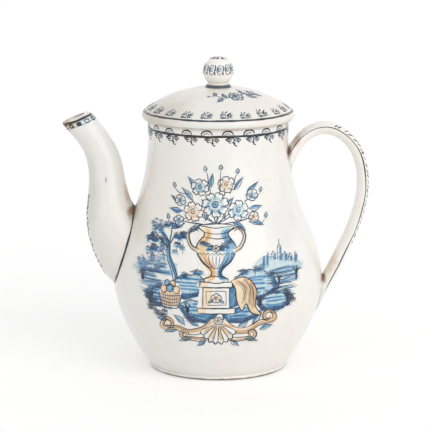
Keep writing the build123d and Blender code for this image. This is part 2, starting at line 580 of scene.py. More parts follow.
class Painting:
    """Lines and washes in millimetres on an unrolled surface.

    A line wavers by a share of a millimetre, swells along its length and thins towards its ends. A pooled wash
    has a soft edge with a darker rim just inside it.
    """

    waver, swell, thinnest = 0.12, 0.16, 0.12
    soft_edge, rim_gain, rim_wide = 0.7, 0.35, 0.9

    def __init__(self, seed: int) -> None:
        """Start with nothing painted.

        Args:
            seed: which fixed hand paints.
        """
        self.strokes: list[Stroke] = []
        self.dabs: list[Dab] = []
        self.hand = np.random.default_rng(seed)

    def line(
        self, points: Track, width: float = 0.6, ink: float = 0.8, taper: Point = SOFT, straight: bool = False
    ) -> None:
        """Draw a line with the slight waver and swell of a hand.

        Args:
            points: the points that the line passes.
            width: its widest width in mm.
            ink: how dark it is, from 0 to 1.
            taper: the share of its length over which each end thins.
            straight: whether its corners stay sharp.
        """
        path = np.vstack([eased([a, b]) for a, b in zip(points, points[1:])]) if straight else eased(points)
        run = np.r_[0, np.cumsum(np.hypot(*np.diff(path, axis=0).T))]
        length = max(run[-1], 0.01)
        phase = self.hand.uniform(0, 6.28, 2)
        along = np.gradient(path, axis=0)
        side = np.stack([-along[:, 1], along[:, 0]], 1)
        side /= np.maximum(np.hypot(*side.T), 1e-6)[:, None]
        waver = self.waver * min(1.0, length / 10) * np.sin(run / self.some(1.5, 2.6) + phase[0])
        path = path + side * waver[:, None]
        share = run / length
        full = 1 - self.thinnest
        grow, fade = (
            self.thinnest + full * np.clip(part / max(end, 1e-3), 0, 1) ** 0.6
            for part, end in zip((share, 1 - share), taper)
        )
        swell = grow * fade * (1 + self.swell * np.sin(run / 5 + phase[1]))
        self.strokes.append(Stroke(path, width * swell, ink * self.some(0.85, 1.08)))

    def brush(self, pigment: Pigment, points: Track, width: float, strength: float) -> None:
        """Pull a loaded brush along a line."""
        self.dabs.append(Dab(pigment, eased(points, 1.2), width, strength, False, self.some(0, 99)))

    def pool(self, pigment: Pigment, outline: Track, strength: float) -> None:
        """Fill an outline with a wash that gathers at its edge."""
        ring = np.asarray(outline, float)
        self.dabs.append(Dab(pigment, ring, 0.0, strength, True, self.some(0, 99)))

    def reserve(self, outline: Track) -> None:
        """Keep a zone free of what is painted behind it.

        Args:
            outline: the zone's corners.
        """
        ring = np.asarray(outline, float)
        self.dabs.append(Dab(BLUE, ring, 0.0, 1.0, True, 0.0, clears=True))
        kept = []
        for stroke in self.strokes:
            free = ~within(ring, stroke.points[:, 0], stroke.points[:, 1])
            if free.all():
                kept.append(stroke)
                continue
            for run in np.split(np.arange(len(free)), np.flatnonzero(np.diff(free.astype(int))) + 1):
                if free[run[0]] and len(run) > 2:
                    kept.append(Stroke(stroke.points[run], stroke.widths[run], stroke.ink))
        self.strokes = kept

    def some(self, low: float, high: float) -> float:
        """A random number between two others."""
        return self.hand.uniform(low, high)

    def jitter(self, amount: float) -> float:
        """A small random length either way."""
        return self.some(-amount, amount)

    def density(self, u: Array, z: Array) -> dict[Pigment, Array]:
        """Work out how much of each pigment lies at some places.

        Args:
            u: distances around the surface in mm.
            z: heights in mm.

        Returns:
            One array for each pigment.
        """
        laid = {pigment: np.zeros(u.shape) for pigment in Pigment}
        for dab in self.dabs:
            reach = dab.width / 2 + 0.8
            low, high = dab.points.min(0) - reach, dab.points.max(0) + reach
            near = (u > low[0]) & (u < high[0]) & (z > low[1]) & (z < high[1])
            if dab.clears and near.any():
                bare = 1 - np.clip(self.coat(dab, u[near], z[near]) * 4, 0, 1)
                for wash in laid.values():
                    wash[near] *= bare
            elif near.any():
                laid[dab.pigment][near] += self.coat(dab, u[near], z[near])
        return laid

    @classmethod
    def coat(cls, dab: Dab, x: Array, y: Array) -> Array:
        """Work out how thickly one dab lies at the places near it.

        Args:
            dab: the dab.
            x: the places' first coordinates in mm.
            y: their second coordinates in mm.

        Returns:
            Its thickness at each place.
        """
        ring = dab.points
        nexts = np.roll(ring, -1, 0) if dab.pooled else ring[1:]
        best, across, along = np.full(x.shape, 1e9), np.zeros(x.shape), np.zeros(x.shape)
        run = 0.0
        for start, end in zip(ring, nexts):
            way = end - start
            length = max(float(np.hypot(*way)), 1e-6)
            share = np.clip(((x - start[0]) * way[0] + (y - start[1]) * way[1]) / length**2, 0, 1)
            dx, dy = x - start[0] - share * way[0], y - start[1] - share * way[1]
            gap = np.hypot(dx, dy)
            nearer = gap < best
            best = np.where(nearer, gap, best)
            across = np.where(nearer, (way[0] * dy - way[1] * dx) / length, across)
            along = np.where(nearer, run + share * length, along)
            run += length
        if dab.pooled:
            cover = np.clip(np.where(within(ring, x, y), best, -best) / cls.soft_edge + 0.5, 0, 1)
            rim = 1 + cls.rim_gain * np.exp(-((best / cls.rim_wide) ** 2))
            return dab.strength * cover * rim * (0.7 + 0.6 * mottle(x * 0.4, y * 0.4, dab.seed))
        edge = np.clip((1 - best / (dab.width / 2)) / 0.55, 0, 1)
        edge = edge * edge * (3 - 2 * edge)
        bristles = 0.6 + 0.8 * mottle(across * 1.7 + dab.seed, along * 0.14, dab.seed)
        lift = np.clip(along / (dab.width * 0.6) + 0.4, 0, 1) * np.clip((run - along) / dab.width + 0.3, 0, 1)
        return dab.strength * edge * bristles * lift


class Motifs(Painting):
    """The plant, rock and scroll forms that such painters repeat."""

    def leaf(self, base: Point, tip: Point, width: float, pigment: Pigment = BLUE, load: float = 0.6) -> None:
        """Paint a pointed leaf with a midrib and a wash along one side.

        Args:
            base: where it grows from.
            tip: its point.
            width: its widest width in mm.
            pigment: what it is washed with.
            load: how strong the wash is.
        """
        b, t = np.array(base), np.array(tip)
        way = t - b
        side = np.array([-way[1], way[0]]) / max(np.hypot(*way), 1e-6) * width / 2
        bend = self.jitter(0.5) * side
        flanks = [b + way * 0.42 + turn * side + bend for turn in (1, -1)]
        for flank in flanks:
            self.line([base, flank, tip], 0.45, 0.75, (0.4, 0.2))
        self.line([base, b + way * 0.5 + bend, b + way * 0.85], 0.35, 0.6, TAIL)
        for flank, share in zip(flanks, (1.0, 0.4)):
            self.pool(pigment, [base, flank, tip, b + way * 0.5], load * share)

    def bloom(
        self, centre: Point, size: float, petals: int, turn: float = 0.0, pigment: Pigment = BLUE, load: float = 0.7
    ) -> None:
        """Paint a full flower head: scalloped petals about a wound heart and a dotted eye.

        Args:
            centre: the place of its eye.
            size: its radius in mm.
            petals: how many petals it has.
            turn: how far it is turned, in radians.
            pigment: what it is washed with.
            load: how strong the washes are.
        """

        def at(angle: float, share: float) -> Point:
            """A place in the flower, which is seen a little from above."""
            return oval(centre, size * share, 0.9 * size * share, angle)

        self.reserve([at(k * 0.52, 0.97) for k in range(12)])
        half = math.pi / petals
        for k in range(petals):
            a = turn + 2 * half * k
            self.line([at(a + half * off, share) for off, share in PETAL], 0.5, 0.85, BLUNT)
            self.line([at(a + half, 0.7), at(a + half * 0.9, 0.36)], 0.42, 0.75, (0.05, 0.5))
            for lean in (-0.35, 0.3):
                self.line([at(a + half * lean, 0.4), at(a + half * lean * 1.3, 0.66)], 0.3, 0.6, (0.1, 0.7))
            shade = load * (1.15 - 0.55 * math.sin(a + 0.8))
            self.brush(pigment, [at(a - half * 0.5, 0.5), at(a + half * 0.4, 0.56)], size * 0.42, shade)
            self.brush(pigment, [at(a + half * 0.8, 0.5), at(a + half * 0.8, 0.85)], size * 0.16, shade)
        self.line([at(turn + 0.7 * k, 0.34 - 0.022 * k) for k in range(11)], 0.45, 0.85, (0.1, 0.3))
        self.pool(pigment, [at(k, 0.3) for k in range(6)], load * 0.8)
        self.line([at(1, 0.08), at(3, 0.1)], 0.9, 0.95, SOFT)

    def tufts(
        self, clumps: tuple[tuple[float, ...], ...], load: float = 0.8, pigment: Pigment = BLUE, ink: float = 0.7
    ) -> None:
        """Paint clumps of leaves: scalloped squiggles over a mottled wash.

        Args:
            clumps: for each one its place along and up, its half sizes and how many leaves it has.
            load: how strong the wash is.
            pigment: what they are washed with.
            ink: how dark the leaves are.
        """
        for cx, cz, wide, high, count in clumps:
            for _ in range(count):
                a, r = self.some(0, 6.28), math.sqrt(self.some(0, 1))
                x, z = oval((cx, cz), wide * r, high * r, a)
                s = self.some(1.0, 1.9)
                leaves = [(x + off * s, z + up * s) for off, up in LOBES]
                self.line(leaves, 0.5, self.some(ink - 0.2, ink + 0.2), (0.2, 0.3))
                if self.some(0, 1) < 0.7:
                    y = z - 0.8 * s
                    self.brush(pigment, [(x - 1.6 * s, y), (x, y + 0.3), (x + 1.6 * s, y - 0.3)], 2.4, load)

    def hatch(self, start: Point, end: Point, lean: Point, count: int, ink: float = 0.6) -> None:
        """Draw a row of short parallel strokes.

        Args:
            start: where the row starts.
            end: where it ends.
            lean: how far each stroke reaches along and up, in mm.
            count: how many strokes it has.
            ink: how dark they are.
        """
        for k in range(count):
            t = (k + self.some(0.2, 0.8)) / count
            x, z = start[0] + (end[0] - start[0]) * t, start[1] + (end[1] - start[1]) * t
            s = self.some(0.6, 1.15)
            middle = (x + lean[0] * s * 0.5 + 0.2, z + lean[1] * s * 0.5)
            self.line([(x, z), middle, (x + lean[0] * s, z + lean[1] * s)], 0.42, ink, TAIL)

    @staticmethod
    def spiral(centre: Point, size: float, start: float, turns: float) -> list[Point]:
        """Wind a scroll's eye from its rim inwards.

        Args:
            centre: its middle.
            size: its radius at the rim, in mm.
            start: the angle at which it starts, in radians.
            turns: how many turns it makes, and which way.

        Returns:
            Its points.
        """
        count = max(6, int(abs(turns) * 9))
        shares = [k / count for k in range(count + 1)]
        radii = [size * (1 - 0.82 * t) for t in shares]
        return [oval(centre, r, r, start + 2 * math.pi * turns * t) for r, t in zip(radii, shares)]

    def band(
        self, spine: list[Point], wide: float, narrow: float, pigment: Pigment = OCHRE, load: float = 0.8
    ) -> None:
        """Paint a moulded ribbon of scrollwork with a line along each edge and shade inside.

        Args:
            spine: points of its middle line.
            wide: its width at the start, in mm.
            narrow: its width at the end, in mm.
            pigment: what it is washed with.
            load: how strong the wash is.
        """
        path = eased(spine, 1.5)
        along = np.gradient(path, axis=0)
        side = np.stack([-along[:, 1], along[:, 0]], 1) / np.maximum(np.hypot(*along.T), 1e-6)[:, None]
        half = np.linspace(wide, narrow, len(path))[:, None] / 2
        top, under = path + side * half, path - side * half
        for low in range(0, len(path) - 1, 3):
            high = min(low + 4, len(path))
            self.reserve(np.vstack([top[low:high], under[low:high][::-1]]))
        for rim in (top, under):
            self.line(rim[::2], 0.55, 0.85, EVEN)
        self.line((path - side * half * 0.35)[1::2], 0.35, 0.55, (0.3, 0.4))
        self.brush(pigment, (path - side * half * 0.3)[::2], wide * 0.9, load)
        self.brush(DARK, (path - side * half * 0.85)[::3], 0.9, 0.35)


class Sprays(Motifs):
    """Loose sprays of flowers, such as painters strew over a lid or a pot's back."""

    def __init__(self, seed: int, *sprays: tuple[Point, float, float, float]) -> None:
        """Paint some sprays.

        Args:
            seed: which fixed hand paints.
            sprays: for each one its place, its size, its lean and its load.
        """
        super().__init__(seed)
        for spray in sprays:
            self.spray(*spray)

    def spray(self, centre: Point, size: float, turn: float, load: float) -> None:
        """Paint one spray: a stem with leaves, a flower head and buds.

        Args:
            centre: the place of the flower head.
            size: the head's radius in mm.
            turn: the direction in which the spray leans, in radians.
            load: how strong its washes are.
        """
        cx, cz = centre
        c, s = math.cos(turn), math.sin(turn)

        def at(along: float, off: float) -> Point:
            """A place given along and across the spray's lean, in head radii."""
            return (cx + size * (along * c - off * s), cz + size * (along * s + off * c))

        self.line([at(0.6, 0.1), at(1.8, 0.55), at(3.1, 0.2), at(4.3, 0.7)], 0.55, 0.85, (0.1, 0.5))
        self.line([at(-0.7, -0.1), at(-1.8, -0.5), at(-2.9, -0.1), at(-3.9, -0.5)], 0.5, 0.8, TAIL)
        upper = ((1.3, 0.4, 2.2, 1.7), (1.9, 0.5, 2.9, -0.6), (2.7, 0.3, 3.8, 1.3), (3.2, 0.25, 4.2, -0.4))
        lower = ((-1.3, -0.3, -2.0, 0.6), (-1.9, -0.5, -2.5, -1.4), (-2.8, -0.1, -3.5, 0.7))
        for leaves, broad, wet in ((upper, size * 0.8, load), (lower, size * 0.55, load * 0.7)):
            for along, off, tip, side in leaves:
                self.leaf(at(along, off), at(tip, side), broad, load=wet)
        for along, off in ((-3.9, -0.5), (4.4, 0.75), (2.2, 1.75)):
            self.line([at(along - 0.12, off), at(along, off + 0.14), at(along + 0.12, off)], 0.8, 0.9, (0.2, 0.2))
        self.bloom(centre, size, 6, turn, load=load)


class GardenPicture(Motifs):
    """A flower urn on an island in a lake, borne by scrollwork: the picture on the pot's front."""

    def __init__(self) -> None:
        """Paint the picture from the back of the view to its front."""
        super().__init__(20)
        self.far_shore()
        self.water()
        self.tree()
        self.island()
        self.scrollwork()
        self.plinth()
        self.urn()
        self.bouquet()
        self.basket()
        self.reeds()

    def far_shore(self) -> None:
        """Paint hills, a small town and its tower across the lake."""
        left = [(-72, 84), (-62, 89), (-52, 88), (-44, 92), (-30, 90), (-30, 83), (-72, 82)]
        right = [(26, 90), (34, 95), (44, 93), (52, 95), (62, 90), (72, 85), (70, 82), (26, 84)]
        for hills in (left, right):
            self.pool(BLUE, hills, 0.3)
            self.line(hills[:-2], 0.35, 0.4)
        for x, z, w, h in ((47, 91, 3.4, 9), (52, 90, 4.5, 4), (57.5, 89, 3.6, 3.2), (41.5, 92, 4, 3.6)):
            west, east = x - w / 2, x + w / 2
            wall = [(west, z), (west, z + h), (x, z + h + 2.4), (east, z + h), (east, z)]
            self.line(wall, 0.45, 0.7, BLUNT, straight=True)
            self.line([(west, z + h), (east, z + h)], 0.35, 0.6)
            self.pool(BLUE, [(x, z), (x, z + h), (east, z + h), (east, z)], 0.8)
            self.line([(x - 0.6, z + h * 0.5), (x - 0.6, z + h * 0.5 + 1)], 0.5, 0.8)
        self.line([(47, 102), (47, 105.5)], 0.4, 0.8)
        for x, h in ((36.5, 9), (62.5, 6), (64.5, 4.5), (33.5, 7)):
            self.brush(BLUE, [(x, 88), (x + 0.3, 88 + h)], 2.8, 0.9)
            self.hatch((x - 1, 89), (x - 0.3, 88 + h), (1.8, 0.9), 6)

    def water(self) -> None:
        """Draw the lake's level strokes on both sides."""
        for side in (-1, 1):
            for k in range(26):
                z = 58 + 27 * (k / 25) + self.jitter(0.6)
                reach = 71 - 0.55 * abs(z - 82) - self.some(0, 8)
                start = self.some(26, 50)
                if z < 66:
                    start, reach = self.some(30, 42), 58 - self.some(0, 10)
                x0, x1 = side * start, side * reach
                mid = ((x0 + x1) / 2, z + self.jitter(0.9))
                self.line([(x0, z), mid, (x1, z + self.jitter(0.4))], 0.45, self.some(0.3, 0.75), (0.3, 0.5))
                if k % 2:
                    shade = self.some(0.45, 0.95)
                    self.brush(BLUE, [(x0, z - 0.8), mid, (x1 * 0.96, z - 0.5)], 2.4, shade)

    def tree(self) -> None:
        """Paint a leaning willow on the left, with a pale thicket behind it."""
        thicket = (
            (-57, 84, 7, 4, 13), (-51, 93, 7, 5, 15), (-44, 87, 6, 4, 11), (-42, 97, 6, 4, 10), (-62, 90, 4, 3, 7),
        )
        self.tufts(thicket, 0.42, ink=0.45)
        self.band([(-30, 76), (-33, 86), (-37, 95), (-38, 104), (-44, 111)], 4.2, 1.4, BLUE, 1.1)
        for end in ((-30, 112), (-49, 104), (-34, 117), (-52, 112)):
            self.line([(-38, 100), ((-38 + end[0]) / 2, 106), end], 0.8, 0.8, (0.05, 0.5))
        crown = (
            (-46, 114, 8, 4, 15), (-34, 117, 7, 4, 13), (-55, 106, 6, 3.5, 11), (-27, 110, 5.5, 3.6, 10),
            (-44, 104, 6, 3, 9), (-52, 98, 5, 3, 8), (-30, 101, 4, 3, 6),
        )
        self.tufts(crown, 0.75)
        for _ in range(14):
            x, z = self.some(-58, -24), self.some(97, 106)
            self.line([(x, z), (x + self.jitter(1), z - 4), (x + self.jitter(2), z - 8)], 0.4, 0.55, (0.2, 0.7))

    def island(self) -> None:
        """Paint the rocks and the turf that carry the urn."""
        banks = (
            [(-36, 70), (-34, 78), (-26, 83), (-14, 84), (-8, 78), (-12, 70), (-24, 66)],
            [(8, 72), (12, 82), (22, 87), (33, 86), (42, 80), (46, 72), (34, 66), (18, 65)],
            [(-58, 66), (-50, 72), (-38, 73), (-28, 66), (-34, 59), (-48, 60)],
            [(26, 64), (38, 69), (50, 70), (60, 64), (50, 57), (34, 56)],
            [(-30, 62), (-20, 66), (-6, 64), (0, 56), (-8, 49), (-22, 51)],
            [(2, 62), (14, 66), (26, 62), (30, 54), (18, 49), (4, 50)],
        )
        for k, bank in enumerate(banks):
            self.reserve(bank)
            self.pool(BLUE, bank, 0.34 + 0.08 * (k % 3))
            self.line([*bank, bank[0]], 0.6, 0.75, EVEN, straight=True)
            self.facets(np.array(bank, float))
        turf = ((-24, 84), (-15, 85), (18, 86), (30, 88), (40, 82), (-44, 74), (-36, 74), (44, 71), (54, 68))
        self.tufts(tuple((x, z, 3.4, 1.6, 4) for x, z in turf), 0.9)
        shrubs = (
            (-55, 67, 5, 3.4, 11), (-50, 60, 6, 4, 14), (-43, 55, 6, 3.6, 12), (-20, 52, 5, 2.6, 8),
            (56, 62, 4, 3, 8),
        )
        self.tufts(shrubs, 0.55, DARK)

    def facets(self, ring: Array) -> None:
        """Shade a rock's sides and the ledges on it.

        Args:
            ring: the rock's corners.
        """
        middle = ring.mean(0)
        for start, end in zip(ring, np.roll(ring, -1, 0)):
            lit = end[0] > start[0] and (start[1] + end[1]) / 2 > middle[1]
            edge = (start + end) / 2
            inner = edge + (middle - edge) * 0.55
            self.hatch(start, end, (middle - edge) * (0.22 if lit else 0.45), 6, 0.6)
            if not lit:
                side = [start * 0.9 + middle * 0.1, edge * 0.8 + inner * 0.2, end * 0.9 + middle * 0.1]
                self.brush(BLUE, side, 4.6, 1.0)
                self.brush(DARK, [start * 0.94 + middle * 0.06, end * 0.94 + middle * 0.06], 2.2, 0.4)
            self.line([edge, (edge + inner) / 2 + self.jitter(1), inner], 0.45, 0.6, TAIL)
        for k in range(5):
            z = middle[1] + 2.6 * (2 - k) + self.jitter(0.5)
            x, w = middle[0] + self.jitter(3), self.some(5, 10)
            self.brush(BLUE, [(x - w, z), (x, z + self.jitter(0.8)), (x + w, z)], 1.7, 0.85)

    def plinth(self) -> None:
        """Paint the stepped pedestal under the urn and the cloth that hangs over its corner."""
        left, right = [(-15, 56), (-15, 60), (-13, 75), (-13, 79)], [(15, 80), (15, 76), (13, 62), (17, 61)]
        self.reserve([*left, *right, (17, 57.5), (12, 56)])
        for u0, u1, z0, z1 in ((-13, 10, 75, 79), (-11, 8, 60, 75), (-15, 12, 56, 60)):
            side = [(u1, z0), (u1 + 5, z0 + 1.8), (u1 + 5, z1 + 1.4), (u1, z1)]
            self.line([(u0, z0), (u0, z1), (u1, z1), (u1, z0), (u0, z0)], 0.6, 0.85, BLUNT, straight=True)
            self.line(side, 0.5, 0.8, BLUNT, straight=True)
            self.pool(BLUE, side, 1.2)
            self.pool(OCHRE, [(u0, z0), (u0, z1), (u0 + 7, z1), (u0 + 5, z0)], 0.45)
        panel = [(-8.5, 62.5), (-8.5, 72.5), (5.5, 72.5), (5.5, 62.5), (-8.5, 62.5)]
        self.line(panel, 0.4, 0.6, BLUNT, straight=True)
        self.bloom((-1.5, 67.5), 3.8, 5, 0.3, OCHRE, 0.8)
        self.leaf((-3.5, 66), (-7.6, 64), 2)
        self.leaf((0.6, 66), (4.6, 64), 2)
        cloth = [(9, 80), (17, 82), (24, 79), (28, 71), (27, 61), (31, 54)]
        cloth += [(24, 56), (20, 63), (17, 58), (13, 66), (12, 74)]
        self.reserve(cloth)
        self.pool(OCHRE, cloth, 0.6)
        self.line([*cloth, cloth[0]], 0.65, 0.9, BLUNT)
        for fold in (
            [(13, 80), (19, 74), (18, 64)], [(18, 81), (23, 73), (22, 62)], [(23, 79), (25.5, 70), (25, 60)],
        ):
            self.line(fold, 0.5, 0.7, (0.2, 0.5))
            self.brush(OCHRE, [(x + 1.1, z) for x, z in fold], 2.0, 0.9)
            self.brush(BLUE, [(x - 0.9, z - 1) for x, z in fold], 1.3, 0.5)

    def urn(self) -> None:
        """Paint a footed urn with two scroll handles and a swag of flowers."""
        middle = -1.5
        outline = (
            (79, 8), (81, 8.4), (83, 4.2), (86, 3.4), (89, 5.6), (93, 10.4), (98, 13.4), (103, 13.8), (107, 11.6),
            (110, 8.8), (112.5, 8.6), (115, 12), (117, 13.2),
        )
        left, right = ([(middle + side * w, z) for z, w in outline] for side in (-1, 1))
        self.reserve([*left, *right[::-1]])
        for flank in (left, right):
            self.line(flank, 0.75, 0.9, BLUNT)
        for pigment, share, wide, load in (
            (OCHRE, -0.78, 7, 0.75), (OCHRE, -0.5, 5, 0.45), (BLUE, 0.86, 3.6, 0.8), (BLUE, 0.62, 4.4, 0.8),
        ):
            self.brush(pigment, [(middle + w * share, z) for z, w in outline[1:-1]], wide, load)
        for z, w, dip in (
            (79, 8.2, 0.8), (83.3, 4.2, 0.6), (89.5, 5.6, 1.2), (109.5, 8.9, 1.4), (112.5, 8.6, 1.2),
            (117, 13.2, 1.6), (117, 13.2, -1.7),
        ):
            self.line([(middle - w, z), (middle, z - dip), (middle + w, z)], 0.5, 0.75, EVEN)
        for k in range(-4, 5):
            top = middle + k * 2.9
            self.line([(middle + k * 1.1, 89), (middle + k * 2.4, 93), (top, 97.4)], 0.4, 0.7, (0.1, 0.3))
            self.line([(top - 1.4, 97), (top, 98.6), (top + 1.4, 97)], 0.4, 0.7)
        for side in (-1, 1):
            grip = ((12.4, 100), (18, 103), (20.4, 110), (16, 115.4), (12, 113.4))
            self.band([(middle + side * w, z) for w, z in grip], 2.4, 1.6)
            for k in range(3):
                self.tufts(((middle + side * (3.4 + 3.2 * k), 104.6 - 1.7 * (2 - k) + 0.9, 1.0, 0.9, 3),), 0.9)
        self.bloom((middle, 101.6), 2.6, 5, 0.2, OCHRE, 1.0)

    def bouquet(self) -> None:
        """Paint flowers, buds and leaves that spill over the urn's rim."""
        root = (-1.5, 118)
        heads = (
            ((-2, 131), 9.5, 7, BLUE), ((-18, 126), 7.4, 6, OCHRE), ((14.5, 127), 7.6, 6, BLUE),
            ((-13, 143), 6.6, 6, BLUE), ((6, 145), 6.4, 6, OCHRE), ((-28, 133), 4.4, 5, BLUE),
            ((25, 137), 4.6, 5, BLUE), ((26, 122), 4.0, 5, OCHRE), ((-29, 119.5), 4.0, 5, BLUE),
        )
        for (x, z), *_ in heads:
            self.line([root, (x * 0.4, (root[1] + z) / 2 - 1), (x, z)], 0.6, 0.7, (0.05, 0.2))
        for tip, base, width in (
            ((-27, 142), (-18, 133), 3.6), ((-22, 150), (-15, 141), 3.4), ((-4, 153), (-5, 143), 3.2),
            ((18, 150), (11, 141), 3.4), ((30, 146), (20, 136), 3.4), ((33, 129), (22, 128), 3.6),
            ((34, 116), (22, 119), 3.6), ((20, 113), (10, 119), 3.4), ((-37, 127), (-26, 126), 3.6),
            ((-36, 113), (-24, 118), 3.8), ((-22, 111), (-12, 118), 3.4), ((-36, 136), (-26, 130), 3.2),
            ((11, 136), (4, 128), 3.2), ((-12, 135), (-6, 126), 3.2), ((5, 121), (2, 128), 3),
            ((-9, 120), (-8, 127), 3),
        ):
            self.leaf(base, tip, width, BLUE, 1.0)
        for centre, size, petals, pigment in heads:
            self.bloom(centre, size, petals, self.some(0, 1), pigment, 0.75)
        for x, z, lean in (
            (-9, 156, -1), (14, 154, 1), (32, 140, 2), (-38, 121, -2), (-33, 143, -2), (2, 157, 0), (36, 122, 2),
        ):
            self.line([(x * 0.6, 138 if z > 135 else 122), (x * 0.85, z - 5), (x, z - 1.6)], 0.45, 0.65, (0.1, 0.2))
            bud = [(x, z - 1.8), (x - 1.3, z), (x + lean * 0.3, z + 2), (x + 1.3, z), (x, z - 1.8)]
            self.line(bud, 0.5, 0.85, EVEN)
            self.brush(BLUE, [(x, z - 1), (x + 0.2, z + 1)], 2.2, 1.1)

    def basket(self) -> None:
        """Paint a wicker basket of fruit on the bank to the left."""
        middle = -35.5
        wall = [(-44.5, 70), (-42, 60), (-35, 58.8), (-29, 60), (-26.5, 70)]
        self.reserve([*wall, (-29, 76), (-35, 79), (-41, 76)])
        self.pool(OCHRE, [(-44, 70), (-42, 60), (-29, 60), (-27, 70)], 0.75)
        self.line(wall, 0.65, 0.85, BLUNT)
        for k in range(4):
            z, w = 61.4 + 2.4 * k, 6.9 + 0.55 * k
            self.line([(middle - w, z), (middle, z - 1.2), (middle + w, z)], 0.45, 0.7, EVEN)
        for k in range(-4, 5):
            self.line([(middle + 1.5 * k, 59.6), (middle + 1.9 * k, 69)], 0.4, 0.6, EVEN)
        for x, z, r, pigment in (
            (-40.5, 72, 2.7, OCHRE), (-35.5, 73.2, 3.0, BLUE), (-30.5, 72.2, 2.7, OCHRE), (-37.8, 76.4, 2.3, BLUE),
            (-33.2, 76.6, 2.2, OCHRE),
        ):
            ring = [oval((x, z), r, r, a) for a in np.linspace(0, 6.6, 9)]
            self.line(ring, 0.5, 0.8, EVEN)
            self.pool(pigment, ring[:-1], 0.6)
            self.brush(pigment, [(x + r * 0.5, z - r * 0.5), (x + r * 0.6, z + 0.3)], 1.6, 0.8)

    def reeds(self) -> None:
        """Draw fans of grass at the picture's edges."""
        for x, z, spread, tall, count in (
            (-52, 60, -9, 12, 11), (54, 58, 9, 13, 12), (-60, 76, -7, 9, 8), (63, 76, 7, 10, 8),
            (46, 74, 5, 9, 6), (-22, 56, -6, 7, 6), (30, 60, 6, 9, 7),
        ):
            for k in range(count):
                t = (k + 0.5) / count - 0.35
                tip = (x + spread * t * 1.5 + self.jitter(1), z + tall * (1 - 0.7 * abs(t)) + self.jitter(1.2))
                mid = (x + spread * t * 0.5, z + tall * 0.55)
                self.line([(x + self.jitter(1.5), z), mid, tip], 0.75, self.some(0.8, 1.2), (0.1, 0.7))
                if k % 3 == 0:
                    self.brush(BLUE, [(x, z), mid, tip], 1.4, 0.8)

    def scrollwork(self) -> None:
        """Paint the C-scrolls and the leaves that carry the island, and the shell between them."""
        for side, rise in ((-1, 0), (1, 6)):
            turned = 0.0 if side > 0 else math.pi
            eye = self.spiral((side * 37, 46 + rise), 5.6, turned - side * 0.6, side * 1.15)
            spine = ((3, 50), (11, 43.5), (21, 41 + rise * 0.3), (30, 43.5 + rise * 0.7))
            self.band([*((side * x, z) for x, z in spine), *eye], 5.4, 1.4, load=0.9)
            eye = self.spiral((side * 24, 39.5), 3.8, turned - side * 1.4, side * 1.0)
            self.band([(side * 4, 39), (side * 12, 35.5), (side * 20, 36), *eye], 3.8, 1.2, load=0.9)
            for base, tip, width in (
                ((14, 46), (22, 52), 4.4), ((24, 46), (33, 54 + rise), 4.2), ((30, 42), (41, 39 + rise), 4.0),
                ((19, 36), (29, 33), 3.6), ((9, 36), (15, 30), 3.4), ((38, 50 + rise), (47, 50 + rise), 3.4),
            ):
                self.leaf((side * base[0], base[1]), (side * tip[0], tip[1]), width, BLUE, 0.85)
            self.hatch((side * 12, 49), (side * 30, 49 + rise * 0.8), (0.4, 2.6), 9, 0.55)
        self.shell()

    def shell(self) -> None:
        """Paint the scalloped shell in the middle of the scrollwork."""

        def ray(angle: float, wide: float, high: float, root: float = 48) -> Point:
            """A place below the shell's hinge, at an angle from straight down."""
            return (wide * math.sin(angle), root - high * math.cos(angle))

        fan = [-1.25 + 2.5 * k / 8 for k in range(9)]
        rim = []
        for a, b in zip(fan, fan[1:]):
            rim += [ray(a, 12.6, 14.4), ray((a + b) / 2, 14.2, 16.4)]
        rim.append(ray(fan[-1], 12.6, 14.4))
        self.reserve([*rim, (2, 50), (-2, 50)])
        self.line(rim, 0.7, 0.9, BLUNT)
        for k, a in enumerate(fan):
            self.line([ray(a, 2, 2, 49), ray(a, 12.6, 14.4)], 0.5, 0.75, (0.2, 0.1))
            if k % 2 == 0:
                self.brush(OCHRE, [ray(a + 0.16, 3, 3), ray(a + 0.16, 12.4, 14)], 3.0, 0.95)
            else:
                self.brush(BLUE, [ray(a, 9, 10), ray(a, 12, 13.6)], 2.0, 0.7)
        self.bloom((0, 50.5), 3.4, 6, 0.2, OCHRE, 0.8)


def unit(rows: Array) -> Array:
    """Bring every row to length one."""
    return rows / np.maximum(np.linalg.norm(rows, axis=-1, keepdims=True), 1e-9)


def threaded(knots: Array, count: int) -> Array:
    """Thread a curve of even bend through points.

    Args:
        knots: the points, one row each.
        count: how many places along the curve to return.

    Returns:
        Evenly spread places, one row each.
    """
    run = np.r_[0, np.cumsum(np.linalg.norm(np.diff(knots, axis=0), axis=1))]
    gap, last = np.diff(run), len(knots) - 1
    rows, right = np.eye(last + 1), np.zeros(knots.shape)
    for i in range(1, last):
        rows[i, i - 1 : i + 2] = gap[i - 1], 2 * (gap[i - 1] + gap[i]), gap[i]
        right[i] = 6 * ((knots[i + 1] - knots[i]) / gap[i] - (knots[i] - knots[i - 1]) / gap[i - 1])
    bend = np.linalg.solve(rows, right)
    at = np.linspace(0, run[-1], count)
    i = np.clip(np.searchsorted(run, at, "right") - 1, 0, last - 1)
    h, a, b = gap[i][:, None], (run[i + 1] - at)[:, None], (at - run[i])[:, None]
    curve = (bend[i] * a**3 + bend[i + 1] * b**3) / (6 * h)
    return curve + (knots[i] / h - bend[i] * h / 6) * a + (knots[i + 1] / h - bend[i + 1] * h / 6) * b


def lifted(radius: Array, angle: Array, height: Array, out: Array, lift: object) -> Places:
    """Lift places, given by radius, azimuth and height, off a surface that faces out."""
    spots = np.stack([radius * np.sin(angle), -radius * np.cos(angle), height], 1)
    return spots + out * np.reshape(lift, (-1, 1)), out


